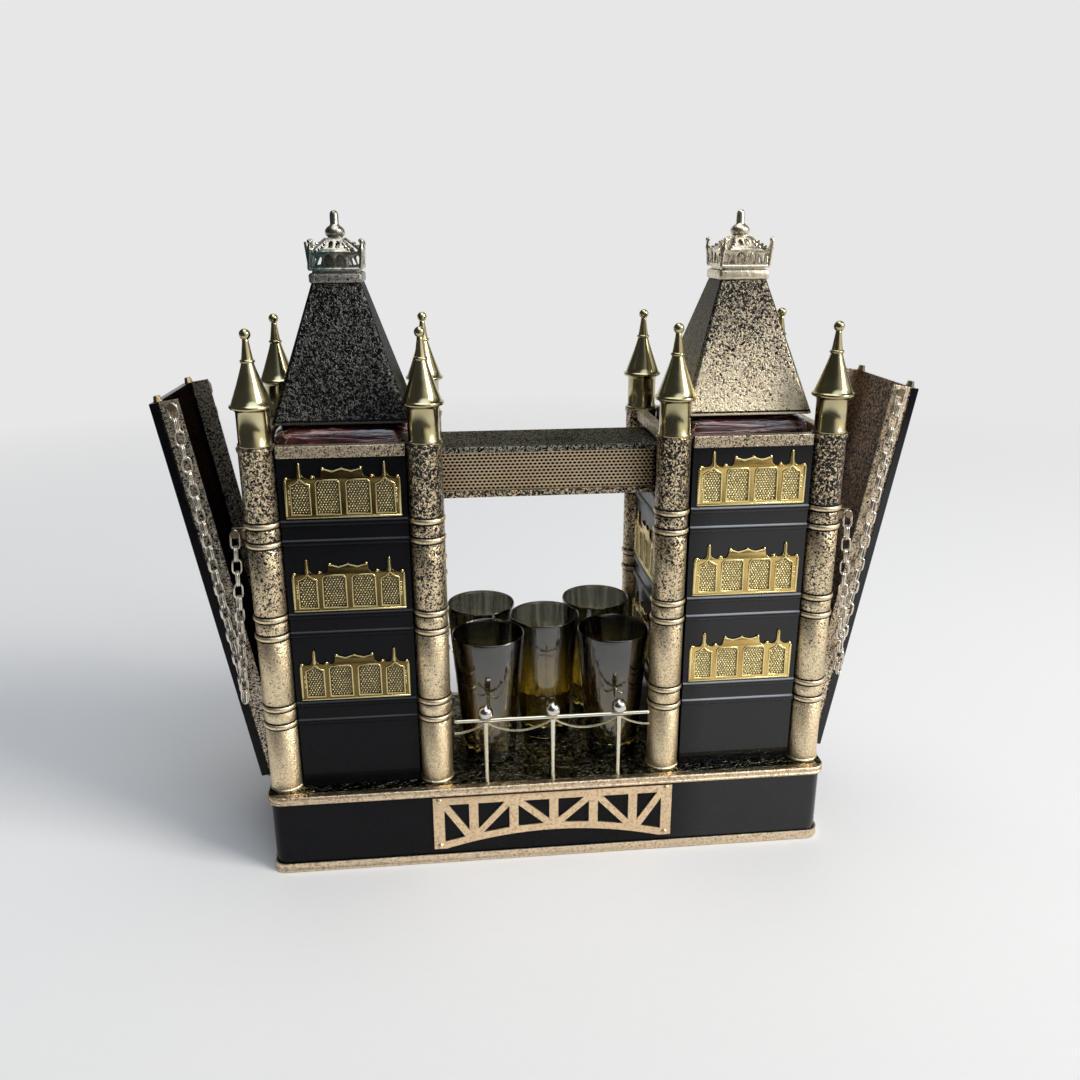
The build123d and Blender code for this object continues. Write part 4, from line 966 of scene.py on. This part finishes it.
def walkway_pieces():
    dress("walkway_floor", "column", 0.35)
    dress("walkway_roof", "shade", 0.35)
    panel = mesh_panel()
    low = WALKWAY_BOTTOM + WALKWAY_SHEET + 0.05
    high = WALKWAY_TOP - WALKWAY_SHEET - 0.05
    end = WALKWAY_END - 0.5
    # A dark sheet behind each mesh panel: painted shade, standing in for the shade inside the walkway
    back = plate([(-end, low), (end, low), (end, high), (-end, high)], [], -0.9, -0.66, 0.05)
    for name, spin in FACING.items():
        place = spin @ shift(0, WALKWAY_SHEET + 0.1 - WALKWAY_HALF, 0)
        node = [f"walkway_mesh_{name}"]
        piece(f"mesh_{name}", panel.at(place), "mesh", node, angle=30)
        piece(f"mesh_{name}_backing", back.at(place), "shade_sheet", node)


def swag(start, span, share):
    """A hanging wire from the bar, over part of its whole span."""
    path = []
    for along in (number / 20 for number in range(int(20 * share) + 1)):
        path.append((start + span * along, 0.0, GALLERY_BAR - 1.0 - SWAG_DROP * 4 * along * (1 - along)))
    return tube(path, SWAG_WIRE)


def gallery_pieces():
    """A knurled bar on posts with balls and wire swags, along both long edges."""
    post = [(DECK_TOP, 1.3), (DECK_TOP + 0.5, 1.3), (DECK_TOP + 1.0, 1.05), (DECK_TOP + 12.0, 1.1)]
    post += [(GALLERY_BAR - 6.0, 1.4), (GALLERY_BAR - 1.4, 1.5), (GALLERY_BAR - 0.9, 1.5)]
    ball = [(83.4, 1.5), (83.9, 1.6), (84.2, 1.2)]
    ball += arc_profile((86.95, 0.0), 3.95, 3.95, -55, 70, 12)
    ball += [(90.9, 0.9), (91.3, 0.75), (91.5, 0.3)]
    turns = int(2 * (GALLERY_HALF - 1.0) / KNURL_PITCH)
    bar = [(-GALLERY_HALF, 0.4), (0.3 - GALLERY_HALF, 0.85)]
    for number in range(turns + 1):
        along = KNURL_PITCH * (number - turns / 2)
        bar += [(along - KNURL_PITCH / 4, 0.92), (along + KNURL_PITCH / 4, 1.06)]
    bar += [(GALLERY_HALF - 0.3, 0.85), (GALLERY_HALF, 0.4)]
    middle = swag(0.0, GALLERY_POSTS[1] - GALLERY_POSTS[0], 1.0)
    end = swag(GALLERY_POSTS[2], 2 * (GALLERY_HALF - GALLERY_POSTS[2]), 0.5)
    shapes = {name: Shape() for name in ("posts", "balls", "bars", "swags")}
    for y in GALLERY_ROWS:
        for x in GALLERY_POSTS:
            shapes["posts"].add(lathe(post, 20), shift(x, y, 0))
            shapes["balls"].add(lathe(ball, 32), shift(x, y, 0))
        shapes["bars"].add(lathe(bar, 16), shift(0, y, GALLERY_BAR) @ turn(90, "Y"))
        for sign in (1, -1):
            shapes["swags"].add(middle, shift(0, y, 0) @ mirror(sign, 1))
            shapes["swags"].add(end, shift(0, y, 0) @ mirror(sign, 1))
    for name, shape in shapes.items():
        finish = "silver" if name == "balls" else "rail"
        piece(f"rail_{name}", shape, finish, [f"gallery_{name}"])


def glass_pieces():
    """Tapered tumblers with thick feet, thin rims and lozenges cut low on the outside."""
    low = DECK_TOP
    top = DECK_TOP + GLASS_HEIGHT

    def outer(height):
        return GLASS_FOOT + (GLASS_RIM - GLASS_FOOT) * (height - low) / GLASS_HEIGHT

    profile = [(low, 12.2), (low + 0.3, 13.4)]
    profile += [(low + rise, outer(low + rise)) for rise in (1.2, *range(3, 31), 36, 44, 56)]
    profile += [(top - 0.8, outer(top - 0.8)), (top - 0.2, outer(top) - 0.2)]
    rim = len(profile)
    profile += [(top, outer(top) - 0.45), (top - 0.25, outer(top) - 0.8)]
    profile += [(top - 0.9, outer(top - 0.9) - 0.95), (top - 2.5, outer(top - 2.5) - 1.1)]
    profile += [(low + rise, outer(low + rise) - GLASS_WALL) for rise in (60, 40, 20, 12)]
    profile += [(low + 8.6, 12.4), (low + 7.4, 10.4), (low + 7.0, 6.0), (low + 6.9, 1.0)]
    angles = [2 * math.pi * step / GLASS_SIDES for step in range(GLASS_SIDES)]
    loops = []
    for number, (height, radius) in enumerate(profile):
        rise = height - low
        cut = LOZENGE_DEPTH if number < rim and 2.5 < rise < 30 else 0.0
        lean = math.pi * rise / LOZENGE_HEIGHT
        loop = []
        for angle in angles:
            ridges = [abs(math.sin(LOZENGES / 2 * angle + way * lean)) for way in (1, -1)]
            reach = radius - cut * (1 - min(ridges) ** 0.6)
            loop.append((reach * math.cos(angle), reach * math.sin(angle), height))
        loops.append(loop)
    tumbler = loft(loops)
    for name, (x, y) in GLASS_PLACES.items():
        shape = tumbler.at(shift(x, y, 0))
        piece(f"tumbler_{name[6:]}", shape, "smoke", [name], name, 50)


def decanter_shape():
    """A square bottle with round corners, sloping shoulders and a lipped neck."""
    side = DECANTER_SIDE
    low = DECK_TOP
    top = LIP_TOP
    rows = [(side - 6, 6, low), (side - 1.6, 8, low + 0.8), (side, 9, low + 3), (side, 9, 228.5)]
    rows += [(67.2, 9.5, 231.6), (65, 10, 234.4), (61.5, 11, SHOULDER_TOP), (48, 12, 238.1)]
    rows += [(34, 12.5, 240.4), (26.5, 12.0, NECK_BOTTOM), (23, 11.49, 245.5)]
    rows += [(22.8, 11.39, NECK_TOP - 0.6), (24.6, 12.29, NECK_TOP), (26.8, 13.39, NECK_TOP + 0.8)]
    rows += [(26.9, 13.44, top - 0.7), (25.4, 12.69, top), (16.8, 8.39, top), (15.2, 7.59, top - 0.8)]
    rows += [(15.2, 7.59, 242.0), (30, 9, 238.4), (54, 8, 234.0), (59, 6, 229.5), (60, 5, 226.0)]
    rows += [(60, 5, low + 9), (56, 5, low + 6.4), (50, 5, low + 6)]
    return squares(rows, 8)


def crown_wall():
    """One leaning side of a crown, with its windows and half pinnacles."""
    half = [(0.0, 0.0), (12.6, 0.0), (12.6, 12.0), (12.2, 13.4), (11.6, 12.0), (11.0, 9.6)]
    half += [(10.3, 8.6), (9.5, 8.9), (8.8, 8.2), (6.0, 8.6), (3.0, 8.8), (0.0, 8.8)]
    middle = [(0.65, 1.9), (4.7, 1.9), (4.7, 5.6), (4.1, 6.8), (2.7, 7.9), (1.3, 6.8), (0.65, 5.6)]
    brace = [(5.7, 1.9), (8.4, 1.9), (7.6, 3.8), (6.2, 6.4), (5.7, 6.0)]
    corner = [(9.2, 2.2), (11.5, 1.9), (11.5, 6.2), (10.6, 7.4), (9.2, 6.6), (8.2, 5.4)]
    holes = [middle, brace, corner]
    holes += [mirrored(ring) for ring in holes]
    wall = plate(both_halves(half), holes, -CROWN_SHEET, 0.0, 0.16)
    for point in wall.points:
        reach = CROWN_HALF + point.z * math.tan(math.radians(CROWN_LEAN))
        point.x *= reach / CROWN_HALF
        point.y -= reach
    return wall


def crown_gable():
    """A gable that leans in from one side to the lantern, with two lancets and knobs on its edges."""
    half = [(0.0, 0.0), (8.2, 0.0), (7.2, 1.8), (5.8, 3.6), (4.9, 5.8), (4.2, 8.0)]
    half += [(3.8, GABLE_LENGTH), (0.0, GABLE_LENGTH)]
    lancet = [(0.7, 3.0), (2.6, 3.0), (2.6, 6.6), (1.6, 8.6), (0.7, 7.4)]
    made = plate(both_halves(half), [lancet, mirrored(lancet)], 0.0, 0.9, 0.16)
    knob = lathe([(-0.2, 0.3), (0.2, 0.75), (0.8, 0.8), (1.2, 0.3)], 10)
    for x, z in half[2:5]:
        for sign in (-1, 1):
            made.add(knob, shift(sign * (x - 0.3), -0.5, z) @ turn(90, "X"))
    reach = CROWN_HALF + GABLE_FOOT * math.tan(math.radians(CROWN_LEAN))
    return made.at(shift(0, 0.6 - reach, GABLE_FOOT) @ turn(-GABLE_LEAN, "X"))


def crown_shape():
    """A crown of four leaning sides and gables round a lantern with an onion and a knob."""
    rim = [(23.6, 1.0, 0.0), (25.8, 1.4, 0.2), (26.0, 1.4, 0.8), (25.4, 1.2, 1.3)]
    made = squares(rim + [(23.2, 1.0, 1.3), (23.2, 1.0, 0.0)])
    made.add(squares([(12.4, 1.0, 1.2), (12.4, 1.0, 8.4), (9.6, 1.0, 12.0), (6.8, 1.0, 15.4)]))
    pinnacle = [(0.8, 0.9), (7.5, 0.95), (9.6, 1.35), (10.4, 1.1), (12.0, 0.7), (12.6, 0.65)]
    pinnacle += [(13.0, 1.1), (13.7, 1.2), (14.3, 0.9), (14.8, 0.2)]
    onion = [(14.6, 3.2), (15.4, 3.6), (16.2, 4.5), (17.2, 4.9), (18.4, 4.9), (19.4, 4.4), (20.2, 3.6)]
    onion += [(20.8, 2.7), (21.2, 2.3), (21.6, 2.15), (25.8, 2.15), (26.8, 1.9), (27.5, 1.4), (28.0, 0.3)]
    wall = crown_wall()
    gable = crown_gable()
    corner = shift(12.3, -12.3, 0) @ turn(45, "Z") @ turn(7, "Y")
    for quarter in range(4):
        spin = turn(90 * quarter, "Z")
        made.add(wall, spin)
        made.add(gable, spin)
        made.add(lathe(pinnacle, 12), spin @ corner)
    return made.add(lathe(onion, 32))


def cap_shape():
    """The roof's collar: one thick rounded band, and a narrow neck under the crown."""
    steps = [(24.4, 0.0), (25.2, 0.3), (25.8, 1.1), (25.8, 3.7), (25.2, 4.5), (24.0, 4.8), (22.6, 5.0)]
    steps.append((22.6, CROWN_BOTTOM - ROOF_TOP))
    return squares([(side, 1.4, ROOF_TOP + rise) for side, rise in steps])


def contents_pieces(side):
    place = shift(SIDES[side] * TOWER_X, 0, 0)
    bottle = f"decanter_{side}"
    roof = f"roof_{side}"
    piece(f"bottle_{side}", decanter_shape().at(place), "plum", [bottle], bottle, 50)
    cork = [(249.5, 5.9), (249.8, 6.35), (262.0, 7.0), (262.2, 10.9), (262.7, 11.5), (264.7, 11.5)]
    cork += [(265.2, 10.9), (265.5, 3.6), (266.5, 3.1), (ROOF_TOP - 0.2, 3.0), (ROOF_TOP, 2.8)]
    piece(f"cork_{side}", lathe(cork).at(place), "cork", [f"stopper_{side}"], roof)
    dress(roof, roof, 0.5)
    cap = cap_shape().at(place)
    piece(f"collar_{side}", cap, f"collar_{side}", [f"roof_cap_{side}"], roof)
    crown = crown_shape().at(place @ shift(0, 0, CROWN_BOTTOM))
    piece(f"coronet_{side}", crown, f"crown_{side}", [f"crown_{side}"], roof)


def link_wire(inside_length):
    """A link along Z: two oval wires side by side."""
    radius = STRAND_WIRE / 2
    bend = LINK_WIDTH / 2 - radius
    straight = inside_length / 2 + radius - bend
    end = arc_profile((straight, 0.0), bend, bend, 0, 180, 8)
    made = Shape()
    for y in (-0.46 * STRAND_WIRE, 0.46 * STRAND_WIRE):
        made.add(tube([(sign * x, y, sign * z) for sign in (1, -1) for z, x in end], radius, 8, True))
    return made


def strand_shape(first_inside, count):
    """A strand that hangs straight down from its pin."""
    drop = first_inside / 2 - PIN_RADIUS - LINK_STEP
    plain = link_wire(LINK_INSIDE)
    made = link_wire(first_inside).at(shift(0, 0, -drop))
    drop += (first_inside + LINK_INSIDE) / 2 - LINK_STEP
    for number in range(1, count):
        quarter = 90 if number % 2 else 0
        twist = min(LINK_TWIST, LINK_TWIST_STEP * number)
        made.add(plain, shift(0, 0, -drop) @ turn(quarter - twist, "Z"))
        drop += LINK_PITCH
    return made


def chain_pieces():
    strands = {
        "long": (LONG_PIN, LONG_LEAN, strand_shape(LINK_INSIDE, LINKS_LONG)),
        "short": (SHORT_PIN, -SHORT_LEAN, strand_shape(TONGUE_INSIDE, LINKS_SHORT)),
    }
    for side, sign in SIDES.items():
        for name, ((x, y, z), lean, strand) in strands.items():
            front = strand.at(mirror(sign, 1) @ shift(x, -y, z) @ turn(lean, "Y"))
            rear = front.at(mirror(1, -1))
            body = f"{name}_strands_{side}"
            node = f"chain_{side}_{name}"
            piece(f"links_{side}_{name}", front.add(rear), "chain", [node], body, 60)


def girder_arch(x):
    """How high the girder's lower edge stands."""
    return GIRDER_BOTTOM + GIRDER_RISE * max(0.0, 1 - (x / GIRDER_REACH) ** 2)


def girder_holes():
    """Two three-cornered openings in each bay, on either side of its brace."""
    holes = []
    ceiling = GIRDER_TOP - GIRDER_CHORD
    unit = 2 * GIRDER_HALF / GIRDER_UNITS
    for number in range(GIRDER_UNITS):
        left = unit * number - GIRDER_HALF
        middle = left + unit / 2
        for edge in (left, left + unit):
            sign = math.copysign(1.0, middle - edge)
            end = edge + sign * (GIRDER_POST if abs(edge) > GIRDER_HALF - 1 else GIRDER_STRUT / 2)
            near = middle - sign * GIRDER_STRUT / 2
            run = near - end
            sill = girder_arch(near) + GIRDER_CHORD
            drop = ceiling - sill
            lift = GIRDER_BRACE / 2 * math.hypot(run, drop) / abs(run)
            step = run * lift / drop
            foot = near - step
            holes.append([(end + step, ceiling), (near, ceiling), (near, sill + lift)])
            corner = girder_arch(end) + GIRDER_CHORD
            holes.append([(end, ceiling - lift), (end, corner), (foot, girder_arch(foot) + GIRDER_CHORD)])
    return holes


def girder_pieces():
    """Pierced girders with arched lower edges, and domed rivets in their corners."""
    half = [(x, girder_arch(x)) for x in (GIRDER_REACH * number / 12 for number in range(13))]
    half += [(GIRDER_HALF, GIRDER_BOTTOM), (GIRDER_HALF, GIRDER_TOP), (0.0, GIRDER_TOP)]
    plain = plate(both_halves(half), girder_holes(), 0.0, GIRDER_SHEET, 0.25)
    dome = lathe([(0.0, 1.75), (0.35, 1.65), (0.75, 1.3), (1.0, 0.8), (1.1, 0.2)], 20)
    studs = Shape()
    for name, spin in FACING.items():
        shape = plain.at(spin @ shift(0, -GIRDER_BACK, 0))
        piece(f"lattice_{name}", shape, "girder", [f"girder_{name}"])
        for x in (RIVET_INSET - GIRDER_HALF, GIRDER_HALF - RIVET_INSET):
            for z in RIVET_LEVELS:
                studs.add(dome, spin @ shift(x, -GIRDER_BACK - GIRDER_SHEET, z) @ turn(90, "X"))
    piece("girder_studs", studs, "girder", ["girder_rivets"])


def leaf_pieces(side):
    name = f"leaf_{side}"
    dress(f"{name}_board", "black", 0.4)
    dress(f"{name}_roadway", name, 0.15)
    dress(f"{name}_parapets", f"parapet_{side}", 0.15)
    dress(f"{name}_studs", "antique", 0.2)


def stage_pieces():
    """A pale floor that fades into the backdrop's colour, the world, and soft lamps."""
    paint = Paint("floor")
    distance = paint.vector("LENGTH", {0: paint.place}, "Value")
    fade = paint.ramp(paint.math("MULTIPLY", distance, 0.5), 0.22, 0.75)
    pale = paint.blend(paint.noise(220, 3.0), rgb(0.79, 0.79, 0.79), rgb(0.81, 0.81, 0.81))
    ends = paint.ramp(paint.towards(-0.5, -0.85, 0.0), *TABLE_EDGE)
    paint.set(base_color=paint.blend(ends, pale, DARK_ROOM), roughness=0.85)
    glow = paint.add("ShaderNodeEmission", {"Color": paint.blend(ends, PAPER, DARK_ROOM)}).outputs[0]
    mixed = paint.add("ShaderNodeMixShader", {0: fade, 1: paint.shader.outputs[0], 2: glow})
    paint.put(paint.tree.nodes["Material Output"].inputs["Surface"], mixed.outputs[0])
    floor = bpy.data.meshes.new("floor")
    size = TABLE_HALF
    corners = [(-size, -size, 0), (size, -size, 0), (size, size, 0), (-size, size, 0)]
    floor.from_pydata(corners, [], [(0, 1, 2, 3)])
    floor.materials.append(MATERIALS["floor"])
    ground = placed("floor", floor)
    ground.location.z = -0.0002

    room = Paint("studio", world=True)
    behind = room.ramp(room.towards(0.105, 1.0, 0.0), 0.70, 0.84, DARK_ROOM, PAPER)
    beside = room.ramp(room.towards(1.0, -0.6, -0.1), 0.50, 0.86, DARK_ROOM, WINDOW)
    above = room.ramp(room.towards(0.2, -0.45, 0.87), 0.87, 0.96, DARK_ROOM, SKY)
    room.set(color=room.lighter(behind, room.lighter(beside, above)))
    bpy.context.scene.world = room.material

    lamp("key", (2.30, -1.24, 1.75), 1.1, 77.0, (1.0, 0.95, 0.89))
    lamp("top", (0.0, 0.25, 2.6), 1.6, 17.0, (1.0, 1.0, 1.0))


def lamp(name, place, size, power, color):
    """A soft square lamp that faces the object's middle."""
    light = bpy.data.lights.new(name, "AREA")
    light.shape = "SQUARE"
    light.size = size
    light.energy = power
    light.color = color
    made = placed(name, light)
    made.location = place
    made.rotation_mode = "QUATERNION"
    made.rotation_quaternion = (Vector((0.0, 0.0, 0.15)) - Vector(place)).to_track_quat("-Z", "Y")


def camera():
    """The photograph's camera, which looks along Y before it is turned."""
    data = bpy.data.cameras.new("camera")
    data.lens = CAMERA_LENS
    data.sensor_width = 36.0
    data.clip_start = 0.01
    made = placed("camera", data)
    yaw = Matrix.Rotation(-CAMERA_YAW, 4, "Z")
    pitch = Matrix.Rotation(math.pi / 2 - CAMERA_PITCH, 4, "X")
    roll = Matrix.Rotation(CAMERA_ROLL, 4, "Z")
    made.matrix_world = Matrix.Translation(Vector(CAMERA_PLACE) * MM) @ yaw @ pitch @ roll
    bpy.context.scene.camera = made


bpy.context.scene.view_settings.view_transform = "Standard"
camera()
stage_pieces()
finishes()
base_pieces()
plaque_parts = plaque_shapes()
for tower_side in SIDES:
    tower_pieces(tower_side)
    wall_pieces(tower_side)
    plaque_pieces(tower_side, plaque_parts)
    contents_pieces(tower_side)
    leaf_pieces(tower_side)
walkway_pieces()
gallery_pieces()
glass_pieces()
girder_pieces()
chain_pieces()
dress("hinge_plates", "antique", 0.2)
dress("hinge_pins", "antique")
dress("chain_brackets", "antique", 0.2)
